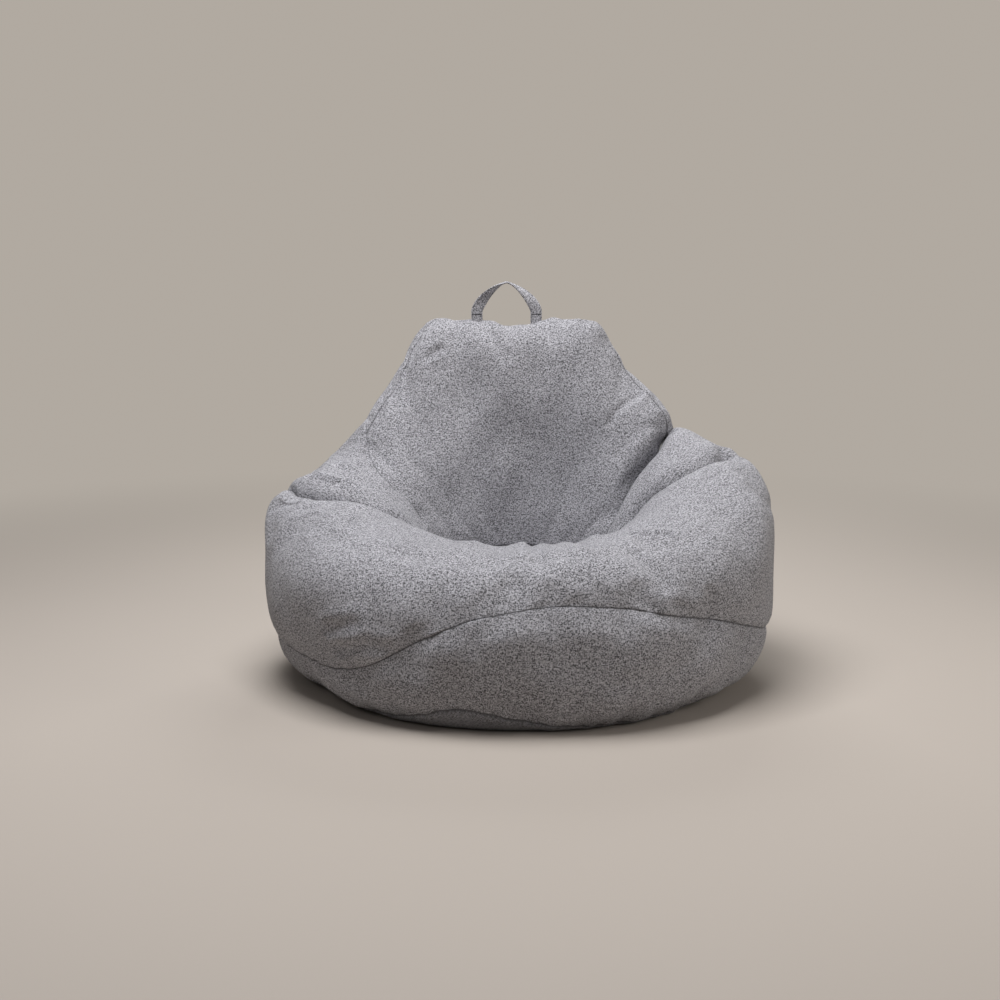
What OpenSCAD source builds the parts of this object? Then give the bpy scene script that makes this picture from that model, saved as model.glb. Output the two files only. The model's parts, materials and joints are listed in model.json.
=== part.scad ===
// Bean bag lounge chair: a sewn fabric cover with a scooped seat, a tall back, two arms and a
// carry handle, over a zipped inner liner that holds loose bead filling.
// The chair faces -Y and stands on the floor at z = 0, with the middle of its base at the origin.

/* [Bag] */
// Overall width across the arms
bag_w = 1100; // [960:10:1320]
// Overall depth from the front bulge to the back bulge
bag_d = 1000; // [900:10:1200]
// Height of the back's top edge
back_h = 770; // [640:10:930]
// Length of the straight top edge of the back
top_w = 370; // [300:10:440]
// Distance of the top edge behind the middle of the base
back_set = 320; // [290:5:350]
// Height of the arms where they are fullest
arm_h = 430; // [370:5:500]
// Height of the front rim of the seat
rim_h = 335; // [290:5:380]
// Distance of the front rim before the middle of the base
rim_set = 320; // [290:5:350]
// Height of the lowest point of the seat
seat_h = 210; // [170:5:240]
// Diameter of the flat base
base_w = 800; // [700:10:860]
// Height of the widest line at the front
bulge_front_h = 175; // [140:5:200]
// Height of the widest line at the arms
bulge_side_h = 235; // [190:5:260]
// Height of the widest line at the back, which the cover's zip follows
bulge_back_h = 220; // [180:5:250]

/* [Cloth] */
// Thickness of the cover's woven fabric
cover_t = 2; // [1:0.5:3]
// Thickness of the liner's fabric
liner_t = 1; // [0.5:0.5:2]
// Space between the cover and the liner, which the zips work in
liner_gap = 10; // [10:1:14]
// Space between the liner and the filling
fill_gap = 2; // [2:1:4]

/* [Seams] */
// Half angle of the front panels, from the front to each side seam
side_seam = 102; // [102:1:104]
// Angle from the front to the seams between the wings and the back
wing_seam = 128; // [126:1:130]

/* [Handle] */
// Distance between the handle's two feet, centre to centre
handle_span = 142; // [120:2:180]
// Height of the handle's highest edge above the top edge of the back
handle_rise = 84; // [70:2:120]
// Distance of the handle to one side of the middle, as it was sewn
handle_offset = -30; // [-40:5:40]
// Width of the handle's strap
strap_w = 27; // [22:1:36]
// Thickness of the folded and sewn strap
strap_t = 5; // [4:0.5:6]
// Length of the strap's feet that stand up out of the top seam
tab_h = 10; // [8:1:16]
// Gap between a foot and the loop that folds over it
fold_gap = 1; // [0.8:0.1:1.5]
// Width of the stitched bar that holds each foot
bartack_w = 22; // [16:1:22]

/* [Cover zip] */
// Half angle of the opening that the zip closes
slot_angle = 40; // [40:1:40]
// Height of the opening that shows the zip
slot_h = 13; // [13:1:16]
// Width of one half of the zip tape
tape_w = 14; // [13:1:16]
// Thickness of the zip tape
tape_t = 1.2; // [0.8:0.2:1.4]
// Width of one row of the coil
coil_w = 2.5; // [2:0.1:3]
// Thickness of the coil
coil_t = 2.4; // [2:0.1:2.6]
// Gap between the two rows of the coil
coil_gap = 1.2; // [1.2:0.1:1.6]
// Length of the slider
slider_l = 14; // [12:1:16]
// Width of the slider
slider_w = 9; // [8.5:0.5:10]
// Thickness of the slider's two plates
slider_t = 1.4; // [1:0.1:1.5]
// Clearance between the slider and what it slides over
slide_gap = 0.3; // [0.25:0.05:0.4]
// Diameter of the bar that holds the pull
bail_d = 1.8; // [1.6:0.1:2]
// Running clearance of the pull on its bar, on the radius
bail_play = 0.08; // [0.05:0.01:0.1]
// Length of the pull below its bar
pull_l = 34; // [24:1:40]
// Width of the pull
pull_w = 9; // [7:0.5:11]
// Thickness of the pull's plate
pull_t = 1.4; // [1:0.1:1.8]

/* [Liner zip] */
// Half angle of the opening in the liner
liner_slot_angle = 32; // [32:1:32]
// Height of the liner's opening that shows its zip
liner_slot_h = 13; // [13:1:16]
// Part of the way from the floor to the widest line where the liner's zip lies
liner_zip_at = 0.62; // [0.55:0.01:0.68]

/* [Label] */
// Width of the care label
label_w = 32; // [24:1:40]
// Length of the care label below the seam
label_l = 46; // [36:1:60]
// Thickness of the folded care label
label_t = 0.6; // [0.4:0.1:1]
// Angle from the front where the care label hangs
label_angle = 226; // [224:1:230]

/* [Hidden] */

heather = "#8f8d93";
heather_dark = "#6d6c72";
heather_light = "#a5a3aa";
zip_black = "#2b2b2e";
metal = "#77787c";
liner_white = "#e6e4de";
bead_white = "#f5f4f0";

half_w = bag_w / 2;
half_d = bag_d / 2;
// How far a quarter ellipse's handles reach
round_k = 0.55;
// Offsets below the cover's outer surface, of each layer's outer face
liner_in = cover_t + liner_gap;
fill_in = liner_in + liner_t + fill_gap;
// Radius of the zip's path: the bulge is a true circle all round the back
zip_r = half_d;

function mix(a, b, f) = a + (b - a) * f;

// ---- The shape of the filled bag ----
// Stations round the bag, by angle from the front. Each holds the radius of the base, the radius
// and height of the widest line, the radius and height of the crest, how far the curve rises
// above the widest line, how round the crest is outside and inside, and the radius and height of
// the foot of the seat's wall.
STATIONS = [
    [0, base_w / 2, half_d, bulge_front_h, rim_set, rim_h, 100, 90, 80, 150, seat_h + 20],
    [30, base_w / 2, mix(half_d, half_w, 0.2), bulge_front_h, rim_set + 20, rim_h,
        100, 90, 90, 160, seat_h + 20],
    [60, base_w / 2, mix(half_d, half_w, 0.65), mix(bulge_front_h, bulge_side_h, 0.5),
        mix(rim_set, half_w - 120, 0.6), mix(rim_h, arm_h, 0.25), 100, 90, 95, 180, seat_h + 20],
    [90, base_w / 2, half_w, bulge_side_h, half_w - 120, arm_h - 5, 105, 90, 100, 200, seat_h + 30],
    [110, base_w / 2, mix(half_d, half_w, 0.8), bulge_side_h, half_w - 125,
        mix(arm_h, back_h, 0.15), 150, 85, 95, 200, seat_h + 40],
    [130, base_w / 2, half_d, bulge_back_h, norm([top_w / 2 + 95, back_set - 50]),
        mix(arm_h, back_h, 0.53), 220, 75, 85, 180, seat_h + 50],
    [150, base_w / 2, half_d, bulge_back_h, norm([top_w / 2, back_set]), back_h - 5,
        260, 70, 80, 150, seat_h + 50],
    [165, base_w / 2, half_d, bulge_back_h, back_set / cos(15), back_h, 260, 70, 80, 140, seat_h + 50],
    [180, base_w / 2, half_d, bulge_back_h, back_set, back_h - 5, 260, 70, 80, 140, seat_h + 50]];
LAST = len(STATIONS) - 1;

// Smooth passage through the stations, with no overshoot between two of them
function rise(i, k) = (STATIONS[i + 1][k] - STATIONS[i][k]) / (STATIONS[i + 1][0] - STATIONS[i][0]);
function slope(i, k) = i <= 0 || i >= LAST ? 0 :
    let (a = rise(i - 1, k), b = rise(i, k)) a * b <= 0 ? 0 : 2 * a * b / (a + b);
SLOPES = [for (i = [0:LAST]) [for (k = [0:10]) slope(i, k)]];
function fold(u) = let (v = (u % 360 + 360) % 360) v > 180 ? 360 - v : v;
function station_below(u, i = LAST - 1) = i <= 0 || STATIONS[i][0] <= u ? max(i, 0) : station_below(u, i - 1);
function section_at(u) =
    let (v = fold(u), i = station_below(v), h = STATIONS[i + 1][0] - STATIONS[i][0],
        t = (v - STATIONS[i][0]) / h, t2 = t * t, t3 = t2 * t)
    (2 * t3 - 3 * t2 + 1) * STATIONS[i] + (t3 - 2 * t2 + t) * h * SLOPES[i]
    + (3 * t2 - 2 * t3) * STATIONS[i + 1] + (t3 - t2) * h * SLOPES[i + 1];

// The four curves of one section, as control points (radius, height): base to widest line,
// widest line to crest, crest to the foot of the seat's wall, and foot to the middle of the seat
function curves(s) = [
    [[s[1], 0], [mix(s[1], s[2], round_k) + 20, 0], [s[2], s[3] * (1 - round_k)], [s[2], s[3]]],
    [[s[2], s[3]], [s[2], s[3] + s[6]], [s[4] + s[7], s[5]], [s[4], s[5]]],
    [[s[4], s[5]], [s[4] - s[8], s[5]], [s[9] + 100, s[10] + 120], [s[9], s[10]]],
    [[s[9], s[10]], [s[9] - 60, s[10] - 60], [60, seat_h], [0, seat_h]]];
function bez(c, t) = let (m = 1 - t)
    m * m * m * c[0] + 3 * m * m * t * c[1] + 3 * m * t * t * c[2] + t * t * t * c[3];
function bez_dir(c, t) = let (m = 1 - t)
    m * m * (c[1] - c[0]) + 2 * m * t * (c[2] - c[1]) + t * t * (c[3] - c[2]);
// t runs from 0 at the base through 1 at the widest line, 2 at the crest and 3 at the foot of the
// wall to 4 in the middle of the seat
function at(c, t) = let (i = min(3, floor(t))) bez(c[i], t - i);
function dir_at(c, t) = let (i = min(3, floor(t))) bez_dir(c[i], t - i);
function place(p, u) = [p[0] * sin(u), -p[0] * cos(u), p[1]];

// Small step of angle that the surface's sideways direction is taken over
du = 0.5;
// Point of the surface at angle u and height parameter t, moved inward by depth
function inward(c, before, after, u, t, depth) =
    t >= 4 ? [0, 0, seat_h - depth] :
    let (along = dir_at(c, t), up = place(along, u),
        side = place(at(after, t), u + du) - place(at(before, t), u - du),
        n = cross(side, up))
    place(at(c, t), u) - depth * n / norm(n);

// ---- The grid that every sewn layer is built on ----
ANGLES_HALF = concat([for (i = [0:11]) i * side_seam / 12],
    [for (i = [0:3]) mix(side_seam, wing_seam, i / 4)],
    [wing_seam, mix(wing_seam, 180 - slot_angle, 0.5)],
    [for (i = [0:4]) 180 - slot_angle + i * slot_angle / 5]);
N_HALF = len(ANGLES_HALF);
ANGLES = concat(ANGLES_HALF, [180], [for (i = [N_HALF - 1:-1:1]) 360 - ANGLES_HALF[i]]);
NU = len(ANGLES);
CURVES = [for (u = ANGLES) curves(section_at(u))];
CURVES_BEFORE = [for (u = ANGLES) curves(section_at(u - du))];
CURVES_AFTER = [for (u = ANGLES) curves(section_at(u + du))];

// Height parameter of the lower ring seam: high over the front, low past the front corners, and
// along the widest line at the back
RING = [[0, 1.24], [25, 1.17], [50, 0.86], [75, 0.66], [100, 0.72], [128, 1], [181, 1]];
function ring_at(u, i = 0) = let (v = fold(u))
    v <= RING[i + 1][0] ? mix(RING[i][1], RING[i + 1][1],
        (1 - cos(180 * (v - RING[i][0]) / (RING[i + 1][0] - RING[i][0]))) / 2) : ring_at(u, i + 1);

// Rows of the grid at angle u, with a slot of height gap between rows 4 and 5 at t = ring
GUSSET_ROWS = 9;
WALL_ROWS = 6;
SCOOP_ROWS = 6;
SEAT_ROWS = 3;
SLOT_ROW = GUSSET_ROWS;
CREST_ROW = GUSSET_ROWS + 1 + WALL_ROWS;
SEAT_ROW = CREST_ROW + SCOOP_ROWS - 1;
ROWS = CREST_ROW + SCOOP_ROWS + SEAT_ROWS;
function rows(ring, gap_down, gap_up) = concat(
    [for (j = [0:GUSSET_ROWS]) (ring - gap_down) * j / GUSSET_ROWS],
    [for (j = [0:WALL_ROWS]) mix(ring + gap_up, 2, j / WALL_ROWS)],
    [for (j = [1:SCOOP_ROWS]) 2 + j / SCOOP_ROWS],
    [for (j = [1:SEAT_ROWS]) 3 + j / SEAT_ROWS]);
function cover_rows(i) = let (s = section_at(ANGLES[i]))
    rows(ring_at(ANGLES[i]), slot_h / 2 / (3 * round_k * s[3]), slot_h / 2 / (3 * s[6]));
// Height that one unit of t climbs along the liner's zip
liner_zip_rise = norm(3 * dir_at(curves(section_at(180)), liner_zip_at));
function liner_rows(i) = let (h = liner_slot_h / 2 / liner_zip_rise) rows(liner_zip_at, h, h);

function layer(row_list, depth) = [for (i = [0:NU - 1]) for (t = row_list[i])
    inward(CURVES[i], CURVES_BEFORE[i], CURVES_AFTER[i], ANGLES[i], t, depth)];
function vertex(i, j) = ((i + NU) % NU) * (ROWS + 1) + j;

// One cell's two triangles, and its rim where the cell beside it isn't in the panel. Cells in
// the last row are triangles, because they meet in the middle of the seat.
function cell(i, j, base, flip) =
    let (a = base + vertex(i, j), b = base + vertex(i + 1, j), c = base + vertex(i + 1, j + 1),
        d = base + vertex(i, j + 1), tris = j == ROWS - 1 ? [[a, c, b]] : [[a, c, b], [a, d, c]])
    flip ? [for (f = tris) [f[0], f[2], f[1]]] : tris;
function rim(a, b, inner) = a < b ? [[a, b, b + inner], [a, b + inner, a + inner]] :
    [[a, b, a + inner], [b, b + inner, a + inner]];

// The middle of the seat is one point for each angle. Only the first is used.
function welded(f, last) = [for (v = f) v % (ROWS + 1) == ROWS ? (v >= last ? last + ROWS : ROWS) : v];

// A panel of cloth between two depths, over the cells that inside(i, j) picks
module panel(row_list, depth, thickness, inside) {
    outer = layer(row_list, depth);
    inner = layer(row_list, depth + thickness);
    n = len(outer);
    in_panel = [for (i = [0:NU - 1]) [for (j = [0:ROWS]) j < ROWS && inside(i, j)]];
    faces = [for (i = [0:NU - 1]) for (j = [0:ROWS - 1]) if (in_panel[i][j]) each concat(
        cell(i, j, 0, false), cell(i, j, n, true),
        j == 0 || !in_panel[i][j - 1] ? rim(vertex(i, j), vertex(i + 1, j), n) : [],
        j < ROWS - 1 && !in_panel[i][j + 1] ? rim(vertex(i + 1, j + 1), vertex(i, j + 1), n) : [],
        in_panel[(i + NU - 1) % NU][j] ? [] : rim(vertex(i, j + 1), vertex(i, j), n),
        in_panel[(i + 1) % NU][j] ? [] : rim(vertex(i + 1, j), vertex(i + 1, j + 1), n))];
    polyhedron(concat(outer, inner), [for (f = faces) welded(f, n)]);
}

// ---- Which cells each panel of the cover takes ----
function middle(i) = fold((ANGLES[i] + (i == NU - 1 ? 360 : ANGLES[i + 1])) / 2);
function is_right(i) = i < NU / 2;
function is_front(i) = middle(i) < side_seam;
function is_wing(i) = middle(i) > side_seam && middle(i) < wing_seam;
function is_back(i) = middle(i) > wing_seam;
function is_slot(i, j, angle) = j == SLOT_ROW && middle(i) > 180 - angle;

COVER_ROWS = [for (i = [0:NU - 1]) cover_rows(i)];
module cover_panel(inside) panel(COVER_ROWS, 0, cover_t, inside);

module front_gusset() color(heather_dark) cover_panel(function (i, j) j <= SLOT_ROW && is_front(i));

module rear_gusset() color(heather_dark) cover_panel(
    function (i, j) j <= SLOT_ROW && !is_front(i) && !is_slot(i, j, slot_angle));

module bolster_panel() color(heather) cover_panel(
    function (i, j) j > SLOT_ROW && j < SEAT_ROW && is_front(i));

module seat_panel() color(heather_dark) cover_panel(function (i, j) j >= SEAT_ROW);

module backrest_panel() color(heather) cover_panel(
    function (i, j) j >= CREST_ROW && j < SEAT_ROW && is_back(i));

module wing_panel(right) color(heather_light) cover_panel(
    function (i, j) j > SLOT_ROW && j < SEAT_ROW && is_wing(i) && is_right(i) == right);

module left_wing_panel() wing_panel(false);

module right_wing_panel() wing_panel(true);

module rear_panel() color(heather) cover_panel(
    function (i, j) j > SLOT_ROW && j < CREST_ROW && is_back(i));

// The flat circle of cloth that the bag stands on
module base_panel() color(heather_dark) {
    edge = [for (u = ANGLES) let (r = section_at(u)[1]) [r * sin(u), -r * cos(u)]];
    linear_extrude(cover_t) polygon(edge);
}

// ---- Carry handle ----
handle_y = back_set;
foot_x = [handle_offset - handle_span / 2, handle_offset + handle_span / 2];
// The feet stand just clear of the round top edge
foot_z = back_h + fold_gap;
fold_z = foot_z + tab_h + fold_gap + strap_t / 2;
apex_z = back_h + handle_rise - strap_t / 2;

module handle_feet() color(heather_dark)
    for (x = foot_x) translate([x - strap_w / 2, handle_y - strap_t / 2, foot_z])
        cube([strap_w, strap_t, tab_h]);

// The bars of close stitches across the feet, on both faces
bartack_t = 0.8;
bartack_h = 3;
module handle_bartacks() color(zip_black)
    for (x = foot_x, side = [-1, 1])
        translate([x - bartack_w / 2, handle_y + side * (strap_t + bartack_t) / 2 - bartack_t / 2,
            foot_z + tab_h / 2 - bartack_h / 2])
            cube([bartack_w, bartack_t, bartack_h]);

// The loop: its feet lie along the seam, and it turns edge on towards its top
LOOP_RINGS = 28;
LOOP_SIDES = 8;
loop_h = apex_z - fold_z;
loop_power = 1.4;
function loop_point(f) = let (a = 180 * f, s = sin(a), c = cos(a))
    [handle_offset - handle_span / 2 * sign(c) * pow(abs(c), 2 / loop_power),
        handle_y, fold_z + loop_h * pow(s, 2 / loop_power)];
function loop_dir(f) = let (e = 0.004, d = loop_point(min(1, f + e)) - loop_point(max(0, f - e)))
    f <= 0 ? [0, 0, 1] : f >= 1 ? [0, 0, -1] : d / norm(d);
// Twist of the strap's width from along the seam at a foot to across it at the top
twist_from = 0.08;
twist_to = 0.36;
function loop_twist(f) = let (g = (min(f, 1 - f) - twist_from) / (twist_to - twist_from))
    90 * (1 - cos(180 * max(0, min(1, g)))) / 2;
function loop_ring(f) = let (p = loop_point(f), t = loop_dir(f), y = [0, 1, 0],
    side = cross(y, t), turn = loop_twist(f) * (f < 0.5 ? 1 : -1),
    wide = cos(turn) * side + sin(turn) * y, thin = cross(t, wide))
    [for (k = [0:LOOP_SIDES - 1]) let (a = 360 * (k + 0.5) / LOOP_SIDES,
        x = sign(cos(a)) * (abs(cos(a)) > 0.5 ? strap_w / 2 : strap_w / 2 - 1.2),
        z = sign(sin(a)) * (abs(sin(a)) > 0.5 ? strap_t / 2 : strap_t / 2 - 1.2))
        p + x * wide + z * thin];
module handle_strap() color(heather_dark) {
    points = [for (i = [0:LOOP_RINGS]) each loop_ring(i / LOOP_RINGS)];
    sides = [for (i = [0:LOOP_RINGS - 1]) for (k = [0:LOOP_SIDES - 1])
        let (a = i * LOOP_SIDES + k, b = i * LOOP_SIDES + (k + 1) % LOOP_SIDES)
        each [[a, b, b + LOOP_SIDES], [a, b + LOOP_SIDES, a + LOOP_SIDES]]];
    ends = [[for (k = [LOOP_SIDES - 1:-1:0]) k], [for (k = [0:LOOP_SIDES - 1]) LOOP_RINGS * LOOP_SIDES + k]];
    polyhedron(points, concat(sides, ends));
}

// ---- Zips ----
// Turns a drawing of a section round the back, between two angles from the middle of the back.
// In the drawing x is outward from the path and y is up along the cloth.
module round_back(path, from, to)
    rotate([0, 0, 90 + from]) rotate_extrude(angle = to - from, $fn = 96)
        translate([path[0], path[1]]) rotate(path[2]) children();
module strip(x0, x1, y0, y1) translate([x0, y0]) square([x1 - x0, y1 - y0]);

// Depths of the zip's layers inside the cloth's outer surface
coil_out = cover_t;
tape_out = coil_out + coil_t;
tape_in = tape_out + tape_t;
slider_out = coil_out - slide_gap;
slider_in = tape_in + slide_gap;
COVER_PATH = [zip_r, bulge_back_h, 0];
// Angle that a length along a path takes
function turn_of(length, path) = length / path[0] * 180 / PI;

tape_over = 1.5;
coil_end = slot_angle - 1.2;
stop_l = 3;
module tape(path, side, reach) round_back(path, -reach, reach)
    strip(-tape_in, -tape_out, side > 0 ? coil_gap / 2 : -tape_w, side > 0 ? tape_w : -coil_gap / 2);
module coil(path, side, reach) round_back(path, -reach, reach)
    strip(-tape_out, -coil_out, side > 0 ? coil_gap / 2 : -coil_gap / 2 - coil_w,
        side > 0 ? coil_gap / 2 + coil_w : -coil_gap / 2);
module end_stops(path, reach) for (side = [-1, 1]) let (a = turn_of(stop_l, path))
    round_back(path, side > 0 ? reach : -reach - a, side > 0 ? reach + a : -reach)
        strip(-tape_out, -coil_out + 0.6, -coil_gap / 2 - coil_w, coil_gap / 2 + coil_w);

module zip_tape_upper() color(zip_black) tape(COVER_PATH, 1, slot_angle + tape_over);
module zip_tape_lower() color(zip_black) tape(COVER_PATH, -1, slot_angle + tape_over);
module zip_coil_upper() color(zip_black) coil(COVER_PATH, 1, coil_end - turn_of(stop_l, COVER_PATH));
module zip_coil_lower() color(zip_black) coil(COVER_PATH, -1, coil_end - turn_of(stop_l, COVER_PATH));
module zip_end_stops() color(metal) end_stops(COVER_PATH, coil_end - turn_of(stop_l, COVER_PATH));

// Two plates over and under the coil, joined by a post between its rows
post_t = coil_gap - 2 * slide_gap;
post_l = 4;
// How deep pieces that are cast in one reach into each other
cast_in = 0.6;
module slider_body(path, at_angle) {
    half = turn_of(slider_l / 2, path);
    post_half = turn_of(post_l / 2, path);
    round_back(path, at_angle - half, at_angle + half)
        strip(-slider_out, -slider_out + slider_t, -slider_w / 2, slider_w / 2);
    round_back(path, at_angle - half, at_angle + half)
        strip(-slider_in - slider_t, -slider_in, -slider_w / 2, slider_w / 2);
    round_back(path, at_angle - post_half, at_angle + post_half)
        strip(-slider_in - cast_in, -slider_out + cast_in, -post_t / 2, post_t / 2);
}

// The slider rests at the closed end, one slider's half length and a little play off its stop
rest_play = 1;
slider_rest = -(coil_end - turn_of(stop_l + slider_l / 2 + rest_play, COVER_PATH));
bail_x = -slider_out + slider_t + bail_d / 2 + 1.1;
bail_l = 7;
bail_post = 1.6;
eye_r = bail_d / 2 + bail_play + 0.9;
// Places a piece at the bail: x outward, y along the zip, z up
module at_bail() rotate([0, 0, 90 + slider_rest]) translate([zip_r + bail_x, 0, bulge_back_h]) children();

module zip_slider() color(metal) union() {
    slider_body(COVER_PATH, slider_rest);
    at_bail() {
        rotate([90, 0, 0]) cylinder(d = bail_d, h = bail_l + 2 * bail_post, center = true, $fn = 32);
        for (side = [-1, 1]) translate([-bail_x - slider_out + slider_t - cast_in,
            side * (bail_l + bail_post) / 2 - bail_post / 2, -bail_d / 2])
            cube([bail_x + slider_out - slider_t + cast_in, bail_post, bail_d]);
    }
}

module zip_pull() color(metal) at_bail() difference() {
    union() {
        rotate([90, 0, 0]) cylinder(r = eye_r, h = bail_l - 2 * slide_gap, center = true, $fn = 48);
        translate([-pull_t / 2, -(bail_l - 2 * slide_gap) / 2, -eye_r - 4])
            cube([pull_t, bail_l - 2 * slide_gap, 4 + eye_r / 2]);
        difference() {
            translate([-pull_t / 2, -pull_w / 2, -pull_l]) cube([pull_t, pull_w, pull_l - eye_r - 2]);
            translate([0, 0, -pull_l + pull_w / 2]) rotate([0, 90, 0])
                cylinder(d = pull_w / 2.6, h = 3 * pull_t, center = true, $fn = 32);
        }
    }
    rotate([90, 0, 0]) cylinder(r = bail_d / 2 + bail_play, h = bail_l * 2, center = true, $fn = 48);
}

// ---- Care label: a blank folded tape that hangs out of the ring seam beside the zip ----
label_clear = 1.5;
module care_label() color(liner_white)
    rotate([0, 0, label_angle - 90]) translate([half_d + label_clear, -label_w / 2, bulge_back_h - label_l])
        cube([label_t, label_w, label_l]);

// ---- Liner, its zip, and the filling ----
LINER_ROWS = [for (i = [0:NU - 1]) liner_rows(i)];
module inner_liner() color(liner_white) {
    panel(LINER_ROWS, liner_in, liner_t, function (i, j) !is_slot(i, j, liner_slot_angle));
    translate([0, 0, liner_in]) linear_extrude(liner_t)
        polygon([for (u = ANGLES) let (r = section_at(u)[1]) [r * sin(u), -r * cos(u)]]);
}

// The liner's zip lies on the liner's outside, below the cover's zip
liner_zip_c = curves(section_at(180));
liner_zip_p = at(liner_zip_c, liner_zip_at);
liner_zip_d = dir_at(liner_zip_c, liner_zip_at);
liner_zip_tilt = atan2(-liner_zip_d[0], liner_zip_d[1]);
// The tape's inner face lies just outside the liner
liner_zip_in = liner_in - 0.6 - tape_in;
LINER_PATH = [liner_zip_p[0] - liner_zip_in * cos(liner_zip_tilt),
    liner_zip_p[1] - liner_zip_in * sin(liner_zip_tilt), liner_zip_tilt];
liner_coil_end = liner_slot_angle - 1.2;
liner_coil_reach = liner_coil_end - turn_of(stop_l, LINER_PATH);
liner_slider_rest = liner_coil_reach - turn_of(slider_l / 2 + rest_play, LINER_PATH);

module liner_zip_tapes() color(liner_white)
    for (side = [-1, 1]) tape(LINER_PATH, side, liner_slot_angle + tape_over);
module liner_zip_coils() color(liner_white) for (side = [-1, 1]) coil(LINER_PATH, side, liner_coil_reach);
module liner_zip_end_stops() color(metal) end_stops(LINER_PATH, liner_coil_reach);
// A child-safe slider, which has no pull
module liner_zip_slider() color(metal) union() slider_body(LINER_PATH, liner_slider_rest);

module bead_filling() color(bead_white) {
    points = concat(layer(LINER_ROWS, fill_in), [[0, 0, fill_in]]);
    hub = len(points) - 1;
    skin = [for (i = [0:NU - 1]) for (j = [0:ROWS - 1]) each cell(i, j, 0, false)];
    floor_fan = [for (i = [0:NU - 1]) [vertex(i, 0), vertex(i + 1, 0), hub]];
    polyhedron(points, [for (f = concat(skin, floor_fan)) welded(f, hub + 1)]);
}

base_panel();
front_gusset();
rear_gusset();
bolster_panel();
seat_panel();
backrest_panel();
left_wing_panel();
right_wing_panel();
rear_panel();
handle_feet();
handle_bartacks();
handle_strap();
zip_tape_upper();
zip_tape_lower();
zip_coil_upper();
zip_coil_lower();
zip_end_stops();
zip_slider();
zip_pull();
care_label();
inner_liner();
liner_zip_tapes();
liner_zip_coils();
liner_zip_end_stops();
liner_zip_slider();
bead_filling();
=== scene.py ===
"""Bean bag lounge chair: the sewn cover, carry handle, zips, label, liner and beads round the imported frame.

The cover is one closed surface, worked out on a grid that runs round the bag (columns) and from the
middle of the base, up the outside and over the rim, to the middle of the seat (rows). Its seams lie on
grid lines. The cloth is drawn in at its seams and creases, puffed out by simulation, and then cut along its
seams into panels.
"""

import json
import math

import bmesh
import bpy
import numpy as np
from mathutils import Matrix, Vector


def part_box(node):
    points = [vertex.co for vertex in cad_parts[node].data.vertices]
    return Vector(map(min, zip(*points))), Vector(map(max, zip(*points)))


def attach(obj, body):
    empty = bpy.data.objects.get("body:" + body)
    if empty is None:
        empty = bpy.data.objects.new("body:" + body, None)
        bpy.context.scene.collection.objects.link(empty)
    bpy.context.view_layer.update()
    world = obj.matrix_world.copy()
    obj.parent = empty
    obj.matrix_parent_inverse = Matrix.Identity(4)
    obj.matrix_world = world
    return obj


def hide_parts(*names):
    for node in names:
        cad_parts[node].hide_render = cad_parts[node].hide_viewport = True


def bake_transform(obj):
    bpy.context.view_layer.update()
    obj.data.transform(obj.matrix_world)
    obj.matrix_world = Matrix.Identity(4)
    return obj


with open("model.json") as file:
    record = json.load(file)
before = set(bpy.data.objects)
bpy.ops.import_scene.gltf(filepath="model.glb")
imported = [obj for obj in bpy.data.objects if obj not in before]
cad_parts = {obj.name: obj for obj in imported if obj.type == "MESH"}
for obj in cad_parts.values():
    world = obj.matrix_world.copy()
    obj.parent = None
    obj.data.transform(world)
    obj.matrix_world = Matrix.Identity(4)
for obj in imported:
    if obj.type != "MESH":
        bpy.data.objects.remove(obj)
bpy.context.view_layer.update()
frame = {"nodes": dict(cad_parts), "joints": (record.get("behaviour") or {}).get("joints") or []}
SCENE = bpy.context.scene

# ---- Shape of the bag: sizes in metres, angles in degrees from the front, + towards the right arm ----
BASE_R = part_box("base_panel")[1][0]
HALF_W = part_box("bolster_panel")[1][0]
HALF_D = -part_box("front_gusset")[0][1]
BACK_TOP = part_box("rear_panel")[1][2]
ZIP_Z = (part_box("zip_tape_upper")[0][2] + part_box("zip_tape_lower")[1][2]) / 2
SEAT_Z = 0.2
# How steeply the hollow's sides come down to its foot
HOLLOW_LEAN, HOLLOW_RISE = 0.035, 0.14
FRONT_BASE_R = BASE_R + 0.05

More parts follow.
